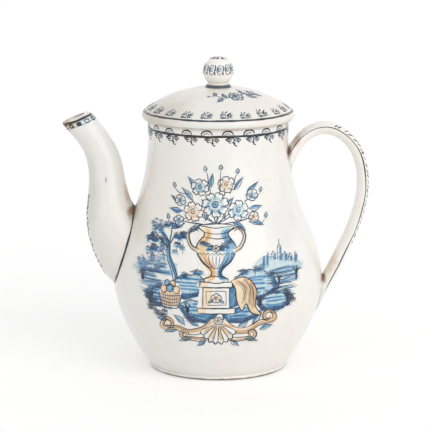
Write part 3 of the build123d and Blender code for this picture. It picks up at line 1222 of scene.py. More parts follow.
@dataclass(frozen=True)
class PotProfile:
    """The outside of the body: two curves from the foot over the belly to the neck, in millimetres."""

    base_radius: float = 49.8
    belly_radius: float = 76.6
    belly_z: float = 63.4
    neck_radius: float = 51.3
    shoulder_z: float = 172.5
    rim_z: float = 184.0
    foot_height: float = 3.0
    heel: Point = (54.3, 5.6)
    under_belly_z: float = 40.8
    over_belly_z: float = 102.7
    under_neck_z: float = 116.7

    def curve(self) -> Array:
        """Draw the profile.

        Returns:
            Rows of radius and height from the foot to the rim.
        """
        widest, narrow = self.belly_radius, self.neck_radius
        foot = (self.base_radius, self.foot_height)
        lower = (foot, self.heel, (widest, self.under_belly_z), (widest, self.belly_z))
        upper = (lower[-1], (widest, self.over_belly_z), (narrow, self.under_neck_z), (narrow, self.shoulder_z))
        t = np.linspace(0, 1, 300)[:, None]
        shares = ((1 - t) ** 3, 3 * (1 - t) ** 2 * t, 3 * (1 - t) * t**2, t**3)
        spans = [sum(share * np.array(pull) for share, pull in zip(shares, pulls)) for pulls in (lower, upper)]
        return np.vstack([spans[0], spans[1][1:], [[narrow, self.rim_z]]])

    def radius(self, height: Array) -> Array:
        """The body's radius at some heights."""
        curve = self.curve()
        return np.interp(height, curve[:, 1], curve[:, 0])

    def clearance(self, places: Array) -> Array:
        """How far places lie outside the body, in mm."""
        return np.hypot(places[:, 0], places[:, 1]) - self.radius(places[:, 2])

    def wrap(self, u: Array, z: Array, lift: Array | float = 0.0, facing: float = 0.0) -> Places:
        """Lay flat places onto the body.

        Args:
            u: distances round the body from its front, in mm.
            z: heights in mm.
            lift: how far each place stands off the glaze, in mm.
            facing: the azimuth in radians of u = 0; the front is 0.

        Returns:
            The places and the directions out of the body, one row each.
        """
        curve, radius = self.curve(), self.radius(z)
        slope = np.nan_to_num(np.gradient(curve[:, 0], curve[:, 1], edge_order=1))
        lean = np.interp(z, curve[:, 1], slope)
        angle = facing + u / radius
        out = np.stack([np.sin(angle), -np.cos(angle), -lean], 1)
        return lifted(radius, angle, z, out / np.linalg.norm(out, axis=1)[:, None], lift)

    def crossing(self, inner: Array, outer: Array) -> Places:
        """Find where the way between two places leaves the body.

        Args:
            inner: the place inside.
            outer: the place outside.

        Returns:
            The place on the body's outside and the way.
        """
        clear = self.clearance(np.stack([inner, outer]))
        share = clear[0] / (clear[0] - clear[1])
        return inner * (1 - share) + outer * share, outer - inner

    def rooted(self, crossings: list[Places]) -> Seam:
        """Work out how a limb stands on the body.

        Args:
            crossings: where lines along the limb leave the body, in order round it.

        Returns:
            The seam's places, the directions out of the body and those out of the limb.
        """
        places, leave = (np.array(rows) for rows in zip(*crossings))
        angle, height = np.arctan2(places[:, 0], -places[:, 1]), places[:, 2]
        places, body = self.wrap(angle * self.radius(height), height)
        around = np.roll(places, -1, 0) - np.roll(places, 1, 0)
        limb = unit(np.cross(around, leave))
        away = places - places.mean(0)
        limb *= np.sign((limb * (away - body * (away * body).sum(1)[:, None])).sum(1))[:, None]
        return places, body, limb


@dataclass(frozen=True)
class Meridian:
    """A turned surface whose profile is an arc, in millimetres."""

    centre_radius: float
    centre_z: float
    arc: float
    start: float

    @staticmethod
    def through(low: Point, middle: Point, high: Point) -> Meridian:
        """Find the arc through three points of radius and height.

        Args:
            low: the lowest point, from which distances up the profile are measured.
            middle: the next one.
            high: the highest one.

        Returns:
            The surface.
        """
        (ax, ay), (bx, by), (cx, cy) = low, middle, high
        d = 2 * (ax * (by - cy) + bx * (cy - ay) + cx * (ay - by))
        x = ((ax**2 + ay**2) * (by - cy) + (bx**2 + by**2) * (cy - ay) + (cx**2 + cy**2) * (ay - by)) / d
        y = ((ax**2 + ay**2) * (cx - bx) + (bx**2 + by**2) * (ax - cx) + (cx**2 + cy**2) * (bx - ax)) / d
        return Meridian(x, y, math.hypot(ax - x, ay - y), math.atan2(ay - y, ax - x))

    def wrap(self, angle: Array, up: Array, lift: Array | float = 0.0) -> Places:
        """Lay places onto the surface.

        Args:
            angle: azimuths in radians, 0 at the front.
            up: distances up the profile from its lowest point, in mm.
            lift: how far each place stands off, in mm.

        Returns:
            The places and the directions out of the surface.
        """
        lean = self.start + up / self.arc
        radius = self.centre_radius + self.arc * np.cos(lean)
        out = np.stack([np.cos(lean) * np.sin(angle), -np.cos(lean) * np.cos(angle), np.sin(lean)], 1)
        return lifted(radius, angle, self.centre_z + self.arc * np.sin(lean), out, lift)


class Skin:
    """The outside of a CAD node, onto which paint is laid."""

    def __init__(self, node: str) -> None:
        """Make the node's surface ready for measuring."""
        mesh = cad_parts[node].data
        self.tree = BVHTree.FromPolygons([v.co for v in mesh.vertices], [p.vertices for p in mesh.polygons])

    def land(self, inner: Array, way: Array, away: float = 12.0) -> Places:
        """Find where lines from outside first meet the surface.

        Args:
            inner: places on or under the surface, in mm.
            way: the directions out of the surface at them.
            away: how far outside each line starts, in mm.

        Returns:
            The places met and the directions out of the surface there.
        """
        spots, out = [], []
        for place, leave in zip(inner, unit(way)):
            start = Vector(place + leave * away) * MM
            hit, face, _, _ = self.tree.ray_cast(start, Vector(-leave), 3 * away * MM)
            if hit is None:
                hit, face, _, _ = self.tree.find_nearest(Vector(place) * MM)
            spots.append(tuple(hit))
            out.append(tuple(face))
        normals = np.array(out)
        smooth = normals.copy()
        smooth[1:-1] += normals[:-2] + normals[2:]
        return np.array(spots) / MM, unit(smooth)


@dataclass
class SpoutForm:
    """The spout as rings, root to mouth, in millimetres.

    Each section holds the lower and the upper outline, as reach past the belly and height, and half the breadth.
    """

    belly_radius: float = 76.6
    sections: tuple[tuple[Point, Point, float], ...] = (
        ((-10.0, 55.0), (-40.0, 92.0), 22.0),
        ((4.0, 65.5), (-31.0, 101.0), 26.0),
        ((13.5, 80.0), (-23.0, 109.5), 25.4),
        ((18.8, 96.0), (-17.5, 116.5), 22.4),
        ((20.6, 110.5), (-13.4, 122.5), 18.8),
        ((19.8, 122.5), (-10.8, 129.5), 15.7),
        ((18.4, 135.0), (-8.6, 138.5), 13.1),
        ((18.6, 147.0), (-6.6, 150.0), 11.6),
        ((21.8, 159.5), (-2.0, 163.8), 10.8),
        ((28.4, 170.0), (5.6, 175.6), 10.3),
        ((34.0, 176.4), (12.4, 184.4), 10.0),
        ((37.7, 181.5), (18.0, 189.4), 9.8),
    )
    stations: int = 300

    def rings(self) -> Array:
        """Thread the outlines through the sections.

        Returns:
            Rows of lower x and z, upper x and z and half breadth, from root to mouth.
        """
        belly = self.belly_radius
        knots = [(-belly - out, low, -belly - back, high, half) for (out, low), (back, high), half in self.sections]
        return threaded(np.array(knots), self.stations)

    def place(self, ring: Array, angle: Array) -> Places:
        """Find places round some rings.

        Args:
            ring: rows of the table that rings() gives.
            angle: angles round them; 0 is the outer ridge and a quarter turn the front.

        Returns:
            The places and the directions away from the rings' middles.
        """
        low = np.stack([ring[:, 0], 0 * angle, ring[:, 1]], 1)
        high = np.stack([ring[:, 2], 0 * angle, ring[:, 3]], 1)
        middle, arm = (low + high) / 2, (low - high) / 2
        front = np.stack([0 * angle, -ring[:, 4], 0 * angle], 1)
        leave = arm * np.cos(angle)[:, None] + front * np.sin(angle)[:, None]
        return middle + leave, unit(leave)

    def middles(self) -> Array:
        """The middle of every ring, as rows of x and z."""
        table = self.rings()
        return (table[:, 0:2] + table[:, 2:4]) / 2

    def between(self, measure: Array, wanted: Array, angle: Array) -> Places:
        """Places at angles round the rings that have some values of a measure of every ring."""
        return self.place(np.stack([np.interp(wanted, measure, column) for column in self.rings().T], 1), angle)

    def below_mouth(self, depth: Array, angle: Array) -> Places:
        """Places at depths below the mouth, in mm, and at angles round the spout."""
        run = np.r_[0, np.cumsum(np.hypot(*np.diff(self.middles(), axis=0).T))]
        return self.between(run, run[-1] - depth, angle)

    def at_height(self, height: Array, angle: Array) -> Places:
        """Places on the rings whose outer ridge has some heights, in mm, and at angles round the spout."""
        return self.between(self.rings()[:, 1], height, angle)

    def seam(self, profile: PotProfile, count: int = 96) -> Seam:
        """Find where the spout meets the body.

        Args:
            profile: the body's outside.
            count: how many places round the seam.

        Returns:
            The places, the directions out of the body and those out of the spout.
        """
        table, crossings = self.rings(), []
        for angle in np.linspace(0, 2 * math.pi, count, endpoint=False):
            line, _ = self.place(table, np.full(len(table), angle))
            last = int(np.flatnonzero(profile.clearance(line) < 0)[-1])
            crossings.append(profile.crossing(line[last], line[last + 1]))
        return profile.rooted(crossings)


@dataclass
class StrapForm:
    """The handle's strap in millimetres: its middle line, as reach past neck and belly and height, and its cut."""

    neck_radius: float = 51.3
    belly_radius: float = 76.6
    width: float = 19.0
    thickness: float = 9.2
    crown: float = 2.4
    side: Point = (0.9, 0.2)
    back: Point = (0.55, 0.86)
    from_neck: tuple[Point, ...] = ((-4.3, 146.0), (0.9, 155.5), (6.6, 165.6), (16.2, 174.8), (28.0, 177.6))
    from_belly: tuple[Point, ...] = (
        (15.8, 172.0), (25.0, 160.2), (29.2, 144.0), (28.6, 126.0),
        (23.2, 106.0), (14.2, 85.5), (3.6, 64.0), (-9.4, 40.0),
    )
    stations: int = 240
    past_end: int = 14

    def path(self) -> Places:
        """Run the strap's middle line from the neck over the top to the belly.

        Returns:
            Its places and the directions out of the loop.
        """
        knots = [(self.neck_radius + r, 0.0, z) for r, z in self.from_neck]
        knots += [(self.belly_radius + r, 0.0, z) for r, z in self.from_belly]
        line = threaded(np.array(knots), self.stations)
        along = unit(np.gradient(line, axis=0))
        return line, np.stack([-along[:, 2], 0 * along[:, 0], along[:, 0]], 1)

    def outline(self) -> Array:
        """Draw the strap's cut.

        Returns:
            Rows of offset to the front and offset out of the loop, round the strap.
        """
        half, top = self.width / 2, self.thickness / 2
        side, back = ((half * wide, -top * deep) for wide, deep in (self.side, self.back))
        crown = (half * 0.5, top - self.crown * 0.25)
        ring = [(0.0, top), crown, (half, top - self.crown), side, back, (0.0, -top)]
        return np.array(ring + [(-a, b) for a, b in ring[-2:0:-1]])

    def seams(self, profile: PotProfile) -> list[Seam]:
        """Find where the strap meets the body, at the neck and at the belly.

        Args:
            profile: the body's outside.

        Returns:
            For each root the places, the directions out of the body and those out of the strap.
        """
        line, out = self.path()
        further = np.arange(1, self.past_end + 1)[:, None]
        line = np.vstack([line, line[-1] + (line[-1] - line[-2]) * further])
        out = np.vstack([out, np.tile(out[-1], (len(further), 1))])
        ring = self.outline()
        offsets = eased(np.vstack([ring, ring[:1]]), 0.9)[:-1]
        found = []
        for end, inwards in ((0, -1), (-1, 1)):
            crossings = []
            for front, rise in offsets:
                track = line + out * rise + np.array([0.0, -front, 0.0])
                outer = int(np.flatnonzero(profile.clearance(track) > 0)[end])
                crossings.append(profile.crossing(track[outer + inwards], track[outer]))
            found.append(profile.rooted(crossings))
        return found


class Mould:
    """Vertices and faces that are gathered for one piece, in millimetres."""

    def __init__(self) -> None:
        """Start empty."""
        self.points: list[Array] = []
        self.faces: list[tuple[int, ...]] = []
        self.ink: list[float] = []
        self.wash: list[Array] = []
        self.count = 0

    def ribbon(
        self, spots: Array, out: Array, widths: Array, ink: float,
        body: float = 0.09, edge: float = 0.03, root: float = 0.2,
    ) -> None:
        """Add a brush line that stands a hair proud of the glaze.

        Args:
            spots: the line's places on the surface.
            out: the directions out of the surface.
            widths: its width at each place.
            ink: how dark it is.
            body: how far its middle stands proud.
            edge: how far its edges stand proud.
            root: how deep its underside lies.
        """
        along = np.gradient(spots, axis=0)
        side = np.cross(along, out)
        side /= np.maximum(np.linalg.norm(side, axis=1), 1e-9)[:, None]
        half = side * np.maximum(widths, 0.08)[:, None] / 2
        left, right = (spots + flank + out * edge for flank in (-half, half))
        rows = np.stack([left, spots + out * body, right, spots - out * root], 1)
        base, n = self.count, len(spots)
        for i in range(n - 1):
            for k in range(4):
                j = (k + 1) % 4
                a, b = base + 4 * i, base + 4 * i + 4
                self.faces.append((a + k, a + j, b + j, b + k))
        last = base + 4 * (n - 1)
        self.faces += [(base, base + 3, base + 2, base + 1), (last, last + 1, last + 2, last + 3)]
        self.points.append(rows.reshape(-1, 3))
        self.ink += [ink] * (4 * n)
        self.count += 4 * n

    def cove(self, seam: Seam, reach: Array, load: Array) -> None:
        """Add a closed fillet of slip that runs round a root, with a painted line along its middle.

        Args:
            seam: the root's places, the directions out of the body and those out of the limb.
            reach: how far the slip runs onto each of the two, in mm.
            load: how dark the painted line is, at each place.
        """
        places, body, limb = seam
        share = (body * limb).sum(1)[:, None]
        onto_body, onto_limb = unit(limb - share * body), unit(body - share * limb)
        wide = np.reshape(reach, (-1, 1))
        rows = [places + onto_body * wide - body * 0.12]
        for along, up in ((0.617, 0.076), (0.293, 0.293), (0.076, 0.617)):
            rows.append(places + (onto_body * along + onto_limb * up) * wide)
        rows += [places + onto_limb * wide - limb * 0.12, places - unit(body + limb) * 0.7]
        count, sides = len(places), len(rows)
        turned = np.cross(np.roll(places, -1, 0) - places, onto_limb - onto_body)
        flip = bool((turned * (body + limb)).sum() < 0)
        for i in range(count):
            a, b = self.count + sides * i, self.count + sides * ((i + 1) % count)
            for k in range(sides):
                j = (k + 1) % sides
                face = (a + k, b + k, b + j, a + j)
                self.faces.append(face[::-1] if flip else face)
        self.points.append(np.stack(rows, 1).reshape(-1, 3))
        marks = np.zeros((count, sides, 3))
        marks[:, 1:4, 2] = np.reshape(load, (-1, 1))
        self.wash.append(marks.reshape(-1, 3))
        self.count += sides * count

    def mesh(self, name: str) -> Mesh:
        """Turn what was gathered into a mesh.

        Args:
            name: the mesh's name.

        Returns:
            The mesh, in metres, with its ink or its wash.
        """
        made = bpy.data.meshes.new(name)
        made.from_pydata((np.vstack(self.points) * MM).tolist(), [], self.faces)
        if self.ink:
            ink = made.attributes.new("ink", "FLOAT", "POINT")
            ink.data.foreach_set("value", np.array(self.ink, np.float32))
        if self.wash:
            wash = made.attributes.new("wash", "FLOAT_VECTOR", "POINT")
            wash.data.foreach_set("vector", np.vstack(self.wash).astype(np.float32).ravel())
        made.shade_smooth()
        return made

    def piece(self, name: str, material: Material, ware: Ware) -> Object:
        """Turn what was gathered into a piece of the pot or of the lid."""
        return settle(name, self.mesh(name), material, ware)


def shown(name: str, data: bpy.types.ID) -> Object:
    """Put an object into the scene.

    Args:
        name: its name.
        data: its mesh, light or camera.

    Returns:
        The object.
    """
    made = bpy.data.objects.new(name, data)
    bpy.context.scene.collection.objects.link(made)
    return made


def coated(mesh: Mesh, material: Material) -> None:
    """Give a mesh this material and no other."""
    mesh.materials.clear()
    mesh.materials.append(material)


def settle(name: str, mesh: Mesh, material: Material, ware: Ware) -> Object:
    """Put a finished mesh into the scene.

    Args:
        name: the piece's name.
        mesh: its mesh, in place.
        material: its finish.
        ware: what it rides on; the record's slot in it is not used.

    Returns:
        The piece.
    """
    body, slot = ware.value
    coated(mesh, material)
    made = shown(name, mesh)
    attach(made, body)
    log.info("%s: %d faces on %s", name, len(mesh.polygons), body)
    return made


@dataclass
class Border:
    """A motif that is repeated round a turned surface by a node tree."""

    name: str
    motif: list[tuple[list[Point], float, float]]
    count: int
    surface: Meridian
    reference: float
    ware: Ware
    colour: Material
    phase: float = 0.0
    rise: float = 0.0
    jitter: float = 0.3
    seed: int = 3
    body_height: float = 0.09
    edge_height: float = 0.03
    pale: float = 0.3
    most_places: int = 11
    sway: float = 0.6
    sizes: Point = (0.9, 1.1)
    turns: Point = (-0.07, 0.07)
    loads: Point = (0.72, 1.12)

    def stencil(self) -> Object:
        """Draw the motif flat, with its middle at the origin, and pale strokes lower than dark ones.

        Returns:
            The object that is repeated.
        """
        hand, mould = Painting(self.seed), Mould()
        for points, width, ink in self.motif:
            hand.line(points, width, ink, (0.15, 0.35))
            stroke = hand.strokes[-1]
            many = len(stroke.points)
            keep = np.unique(np.linspace(0, many - 1, min(many, self.most_places)).astype(int))
            flat = np.column_stack([stroke.points[keep], np.zeros(len(keep))])
            up = np.tile((0.0, 0.0, 1.0), (len(keep), 1))
            low = 0.5 if ink < self.pale else 1.0
            heights = (self.body_height * low, self.edge_height * low)
            mould.ribbon(flat, up, stroke.widths[keep], stroke.ink, *heights, root=0.15)
        name = self.name + "_stencil"
        return shown(name, mould.mesh(name))

    def tree(self) -> tuple[NodeTree, dict[str, str]]:
        """Make the node tree that repeats the motif in a row and bends the row round the surface.

        Returns:
            The tree and its inputs' identifiers by name.
        """
        tree = bpy.data.node_groups.new(self.name + "_repeat", "GeometryNodeTree")
        kinds = dict(Motif="Object", Count="Int", Seed="Int", Finish="Material")
        numbers = ("Pitch", "Jitter", "Phase", "Reference", "Rise", "Arc", "Arc Radius", "Arc Height", "Start")
        sockets: dict[str, str] = {}
        for name in (*kinds, *numbers):
            kind = "NodeSocket" + kinds.get(name, "Float")
            sockets[name] = tree.interface.new_socket(name, in_out="INPUT", socket_type=kind).identifier
        tree.interface.new_socket("Geometry", in_out="OUTPUT", socket_type="NodeSocketGeometry")
        book = NodeBook(tree)
        given = book.node("NodeGroupInput").outputs
        number = {name: book.value(given[name]) for name in numbers}
        offset = {"Count": given["Count"], "Offset": book.joined(number["Pitch"])}
        row = book.node("GeometryNodeMeshLine", {"mode": "OFFSET"}, offset)
        spread = book.joined(number["Jitter"], number["Jitter"] * self.sway)
        narrow = book.node("ShaderNodeVectorMath", {"operation": "SCALE"}, {0: spread, "Scale": -1.0})
        between = {0: narrow.outputs[0], 1: spread, "Seed": given["Seed"]}
        shift = book.node("FunctionNodeRandomValue", {"data_type": "FLOAT_VECTOR"}, between)
        moved = book.geometry("SetPosition", row, Offset=shift.outputs[0])
        size, lean = (book.chance(ends, given["Seed"]) for ends in (self.sizes, self.turns))
        turn = book.joined(z=lean)
        motif = book.node("GeometryNodeObjectInfo", None, {"Object": given["Motif"]}).outputs["Geometry"]
        placed = book.node(
            "GeometryNodeInstanceOnPoints",
            None,
            {"Points": moved.outputs[0], "Instance": motif, "Rotation": turn, "Scale": size},
        )
        marked = book.stored(placed, "INSTANCE", "load", book.chance(self.loads, given["Seed"]))
        real = book.geometry("RealizeInstances", marked)
        wet = book.named("ink") * book.named("load")
        inked = book.stored(real, "POINT", "ink", wet)
        x, y, z = book.split(book.node("GeometryNodeInputPosition").outputs[0])
        tilt = number["Start"] + (y + number["Rise"]) / number["Arc"]
        radius = number["Arc Radius"] + (number["Arc"] + z) * tilt.cosine()
        angle = number["Phase"] + x / number["Reference"]
        height = number["Arc Height"] + (number["Arc"] + z) * tilt.sine()
        bent = book.joined(radius * angle.sine(), radius * angle.cosine() * -1.0, height)
        wrapped = book.geometry("SetPosition", inked, Position=bent)
        dressed = book.geometry("SetMaterial", wrapped, Material=given["Finish"])
        book.node("NodeGroupOutput", None, {0: dressed.outputs[0]})
        return tree, sockets

    def build(self) -> None:
        """Repeat the motif round the surface and make it one plain mesh."""
        stencil = self.stencil()
        tree, sockets = self.tree()
        name, arc = self.name + "_carrier", self.surface
        carrier = shown(name, bpy.data.meshes.new(name))
        modifier = carrier.modifiers.new("repeat", "NODES")
        modifier.node_group = tree
        values = {"Motif": stencil, "Count": self.count, "Seed": self.seed, "Finish": self.colour}
        values |= {"Phase": self.phase, "Start": arc.start}
        lengths = {
            "Pitch": 2 * math.pi * self.reference / self.count, "Jitter": self.jitter, "Rise": self.rise,
            "Reference": self.reference,
            "Arc": arc.arc, "Arc Radius": arc.centre_radius, "Arc Height": arc.centre_z,
        }
        values |= {name: length * MM for name, length in lengths.items()}
        for name, value in values.items():
            modifier[sockets[name]] = value
        carrier.data.update()
        evaluated = carrier.evaluated_get(bpy.context.evaluated_depsgraph_get())
        mesh = bpy.data.meshes.new_from_object(evaluated)
        carrier.modifiers.clear()
        bpy.data.objects.remove(carrier)
        bpy.data.objects.remove(stencil)
        settle(self.name, mesh, self.colour, self.ware)


@dataclass
class PaintedPanel:
    """A painting on the glaze: its washes as a thin skin and the drawing over them."""

    name: str
    scene: Painting
    wrap: Callable[[Array, Array, object], Places]
    low: Point
    high: Point
    ware: Ware
    glaze: Material
    lines: Material
    cell: float = 0.55
    proud: float = 0.075
    sunk: float = 0.2
    bold: float = 1.0
    faintest: float = 0.01
    margin: int = 2

    def build(self) -> None:
        """Lay the painting onto its surface."""
        self.washes()
        mould = Mould()
        for stroke in self.scene.strokes:
            spots, out = self.wrap(stroke.points[:, 0], stroke.points[:, 1], self.proud)
            mould.ribbon(spots, out, stroke.widths * self.bold, stroke.ink, body=0.08, edge=0.02)
        mould.piece(self.name + "_lines", self.lines, self.ware)

    def washes(self) -> None:
        """Make the thin closed skin of glaze that holds the washes."""
        u, z = np.meshgrid(*(np.arange(low, high, self.cell) for low, high in zip(self.low, self.high)))
        laid = self.scene.density(u.ravel(), z.ravel())
        load = np.stack([laid[pigment] for pigment in Pigment], 1)
        near = (load.sum(1) > self.faintest).reshape(u.shape)
        for _ in range(self.margin):
            for grid in (near, near.T):
                grid[1:] |= grid[:-1].copy()
                grid[:-1] |= grid[1:].copy()
        halves = (slice(None, -1), slice(1, None))
        corners = [(halves[row], halves[column]) for row, column in ((0, 0), (0, 1), (1, 1), (1, 0))]
        cells = np.logical_and.reduce([near[corner] for corner in corners])
        used = np.zeros(u.shape, bool)
        for corner in corners:
            used[corner] |= cells
        order = np.full(u.shape, -1)
        order[used] = np.arange(used.sum())
        top = np.stack([order[corner][cells] for corner in corners], 1)
        count = int(used.sum())
        edges = {(int(a), int(b)) for face in top for a, b in zip(face, np.roll(face, -1))}
        walls = [(b, a, a + count, b + count) for a, b in sorted(edges) if (b, a) not in edges]
        skin = Mould()
        skin.points = [self.wrap(u[used], z[used], lift)[0] for lift in (self.proud, -self.sunk)]
        skin.faces = [*top.tolist(), *(top[:, ::-1] + count).tolist(), *walls]
        skin.wash = [load[used.ravel()]] * 2
        skin.piece(self.name + "_washes", self.glaze, self.ware)


@dataclass
class Camera:
    """The camera at the photograph's place, with its tilt in degrees and its near and far ends in metres."""

    place: Triple = (-1.6, -1710.0, 453.0)
    tilt: float = 78.712
    lens: float = 197.48
    sensor: float = 36.0
    reach: Point = (0.05, 40.0)

    def build(self) -> None:
        """Make the camera and set it as the scene's."""
        data = bpy.data.cameras.new("camera")
        data.lens, data.sensor_width, data.sensor_fit = self.lens, self.sensor, "HORIZONTAL"
        data.clip_start, data.clip_end = self.reach
        made = shown("camera", data)
        made.location = Vector(self.place) * MM
        made.rotation_euler = (math.radians(self.tilt), 0.0, 0.0)
        bpy.context.scene.camera = made


@dataclass
class Studio:
    """Plain soft light, a white floor that keeps the shadow, and a white surround."""

    window_place: Triple = (0.56, -0.75, 0.44)
    window_strength: float = 0.98
    window_spread: float = 55.0
    window_colour: Triple = (1.0, 0.992, 0.98)
    surround: float = 0.785
    paper_shade: float = 0.72
    paper_glow: float = 0.348
    paper_tones: tuple[Triple, Triple] = ((0.92, 0.92, 0.92), (0.96, 0.96, 0.955))
    floor_radius: float = 30.0
    floor_corners: int = 64

    def build(self) -> None:
        """Set up the light, the floor and the surround."""
        data = bpy.data.lights.new("window", "SUN")
        data.energy, data.color = self.window_strength, self.window_colour
        data.angle = math.radians(self.window_spread)
        made = shown("window", data)
        made.rotation_euler = (-Vector(self.window_place)).to_track_quat("-Z", "Y").to_euler()
        world = bpy.data.worlds.new("surround")
        bpy.context.scene.world = world
        book = NodeBook.fresh(world)
        strength = book.seen() * (1.0 - self.surround) + self.surround
        light = book.node("ShaderNodeBackground", None, {"Color": WHITE, "Strength": strength})
        book.node("ShaderNodeOutputWorld", None, {"Surface": light.outputs[0]})
        self.floor()
        bpy.context.scene.view_settings.view_transform = "Standard"

    def floor(self) -> None:
        """Lay the floor, which shows white to the camera where no shadow falls."""
        mesh = bpy.data.meshes.new("floor")
        turns = [2 * math.pi * k / self.floor_corners for k in range(self.floor_corners)]
        ring = [(*oval((0.0, 0.0), self.floor_radius, self.floor_radius, turn), 0.0) for turn in turns]
        mesh.from_pydata(ring, [], [tuple(range(self.floor_corners))])
        material, book, where = new_material("floor_paper")
        tone = book.blend(book.noise(where, 6.0, 2.0), *((*tone, 1.0) for tone in self.paper_tones))
        paper = book.node("ShaderNodeBsdfDiffuse", None, {"Color": tone})
        shade = book.node("ShaderNodeBsdfDiffuse", None, {"Color": (*[self.paper_shade] * 3, 1.0)})
        glow = book.node("ShaderNodeEmission", None, {"Color": WHITE, "Strength": self.paper_glow})
        white = book.node("ShaderNodeAddShader", None, {0: shade.outputs[0], 1: glow.outputs[0]})
        both = book.node("ShaderNodeMixShader", None, {0: book.seen(), 1: paper.outputs[0], 2: white.outputs[0]})
        book.node("ShaderNodeOutputMaterial", None, {"Surface": both.outputs[0]})
        coated(mesh, material)
        made = shown("floor", mesh)


# The borders' motifs, stroke by stroke: points in millimetres, width in millimetres, how loaded the brush is.
ARCH = [
    ([(-4, 0), (-3.8, 1.9), (-2.3, 3.35), (0, 3.75), (2.3, 3.35), (3.8, 1.9), (4, 0.1)], 1.1, 1.0),
    ([(-2.6, 0.8), (-1.2, 1.8), (1, 1.9), (2.5, 1)], 0.65, 0.55),
]
SPRIG = [
    ([(-4.2, -2.2), (-2.4, -2), (-1, -2.6)], 2.2, 0.12),
    ([(1.2, -2.8), (3, -2.6), (4.4, -2.9)], 2.2, 0.12),
    ([(-1, -1.1), (-2.6, -0.8), (-4.6, -1.2), (-5.3, -2.2), (-3.7, -3), (-1.7, -2.5), (-1, -1.1)], 0.75, 1.0),
    ([(-4.4, -1.8), (-3.1, -1.5), (-1.8, -1.8)], 0.65, 0.85),
    ([(-3.9, -2.4), (-2.6, -2.3)], 0.6, 0.8),
    ([(-5.9, -1.2), (-5, -2)], 0.8, 0.9),
    ([(-3.7, -3.3), (-2.8, -4.2), (-1.6, -3.8)], 0.8, 1.0),
    ([(0.7, -1.7), (2.2, -1.2), (4.2, -1.5), (5, -2.5), (3.8, -3.4), (1.8, -3.2), (0.7, -1.7)], 0.75, 1.0),
    ([(1.6, -2.2), (2.9, -2.1), (4.2, -2.4)], 0.65, 0.85),
    ([(2.2, -2.8), (3.4, -2.8)], 0.6, 0.8),
    ([(-1, -0.8), (0.5, -1.9), (0.2, -4.1), (0.9, -5.9), (2.1, -6.6), (2.8, -5.9)], 0.95, 1.0),
    ([(-1.4, -3.8), (0.2, -4.4), (1.7, -4.4)], 0.85, 0.95),
    ([(3.9, -3.5), (3.2, -4.5)], 0.8, 0.95),
]
TUFT = [
    ([(-4.6, 3.4), (-1.6, 3.9)], 3.2, 0.15),
    ([(1.2, 3), (4.2, 4)], 2.8, 0.16),
    ([(-1, 1.8), (-3.2, 1.9), (-4.6, 3.9), (-3.4, 5.9), (-1.4, 5.2), (-0.7, 3.4), (-1, 1.8)], 0.95, 1.0),
    ([(-3.7, 3.6), (-2.6, 4.6), (-1.8, 3.4)], 0.9, 0.9),
    ([(-3.2, 6.4), (-2.4, 8.6)], 1.0, 1.0),
    ([(-1.2, 5.9), (0.5, 7.8), (1.3, 7.2)], 1.05, 1.0),
    ([(-5.4, 2.4), (-4.2, 1.2), (-1.4, 1.5), (0.8, 1.1), (2.6, 1.7), (4.6, 0.9)], 0.95, 1.0),
    ([(0.8, 1.8), (1.2, 4.2), (2.8, 5.9), (4.6, 6.4)], 1.15, 1.0),
    ([(2.2, 2), (3, 3.7), (5.2, 4.2)], 1.15, 1.0),
    ([(0.2, 3.2), (0.5, 5.4)], 0.8, 0.85),
]
SCROLL = [
    ([(-0.2, 2.2), (-0.3, -1.8)], 2.9, 0.17),
    ([(2, 1.3), (1.1, 3.3), (-0.6, 3.4), (-2, 1.8), (-2.1, -0.9), (-0.9, -3.2), (1, -3.3), (1.9, -1.4)], 0.8, 0.85),
    ([(1, 0.8), (0.3, 1.6), (-0.7, 1), (-0.8, -0.5), (0.2, -1.3), (0.9, -0.3)], 0.7, 0.7),
    ([(2.2, 3.8), (3.1, 2.6), (3.2, 0.8), (2.6, -0.8), (3.1, -2.8)], 1.15, 0.95),
    ([(1.9, -1.6), (2.6, -3.2), (3.4, -3.8)], 1.1, 1.0),
    ([(2.5, 0.9), (2.6, -0.6)], 0.8, 1.0),
]
ROSETTE = [
    ([(-0.9, 11.2), (-1.4, 13.2), (-0.2, 15.6)], 2.4, 1.3),
    ([(1, 11), (1.7, 12.8), (0.4, 14.6)], 2.1, 1.3),
    ([(-3, 10.9), (-2.4, 12.8)], 1.9, 1.2),
]


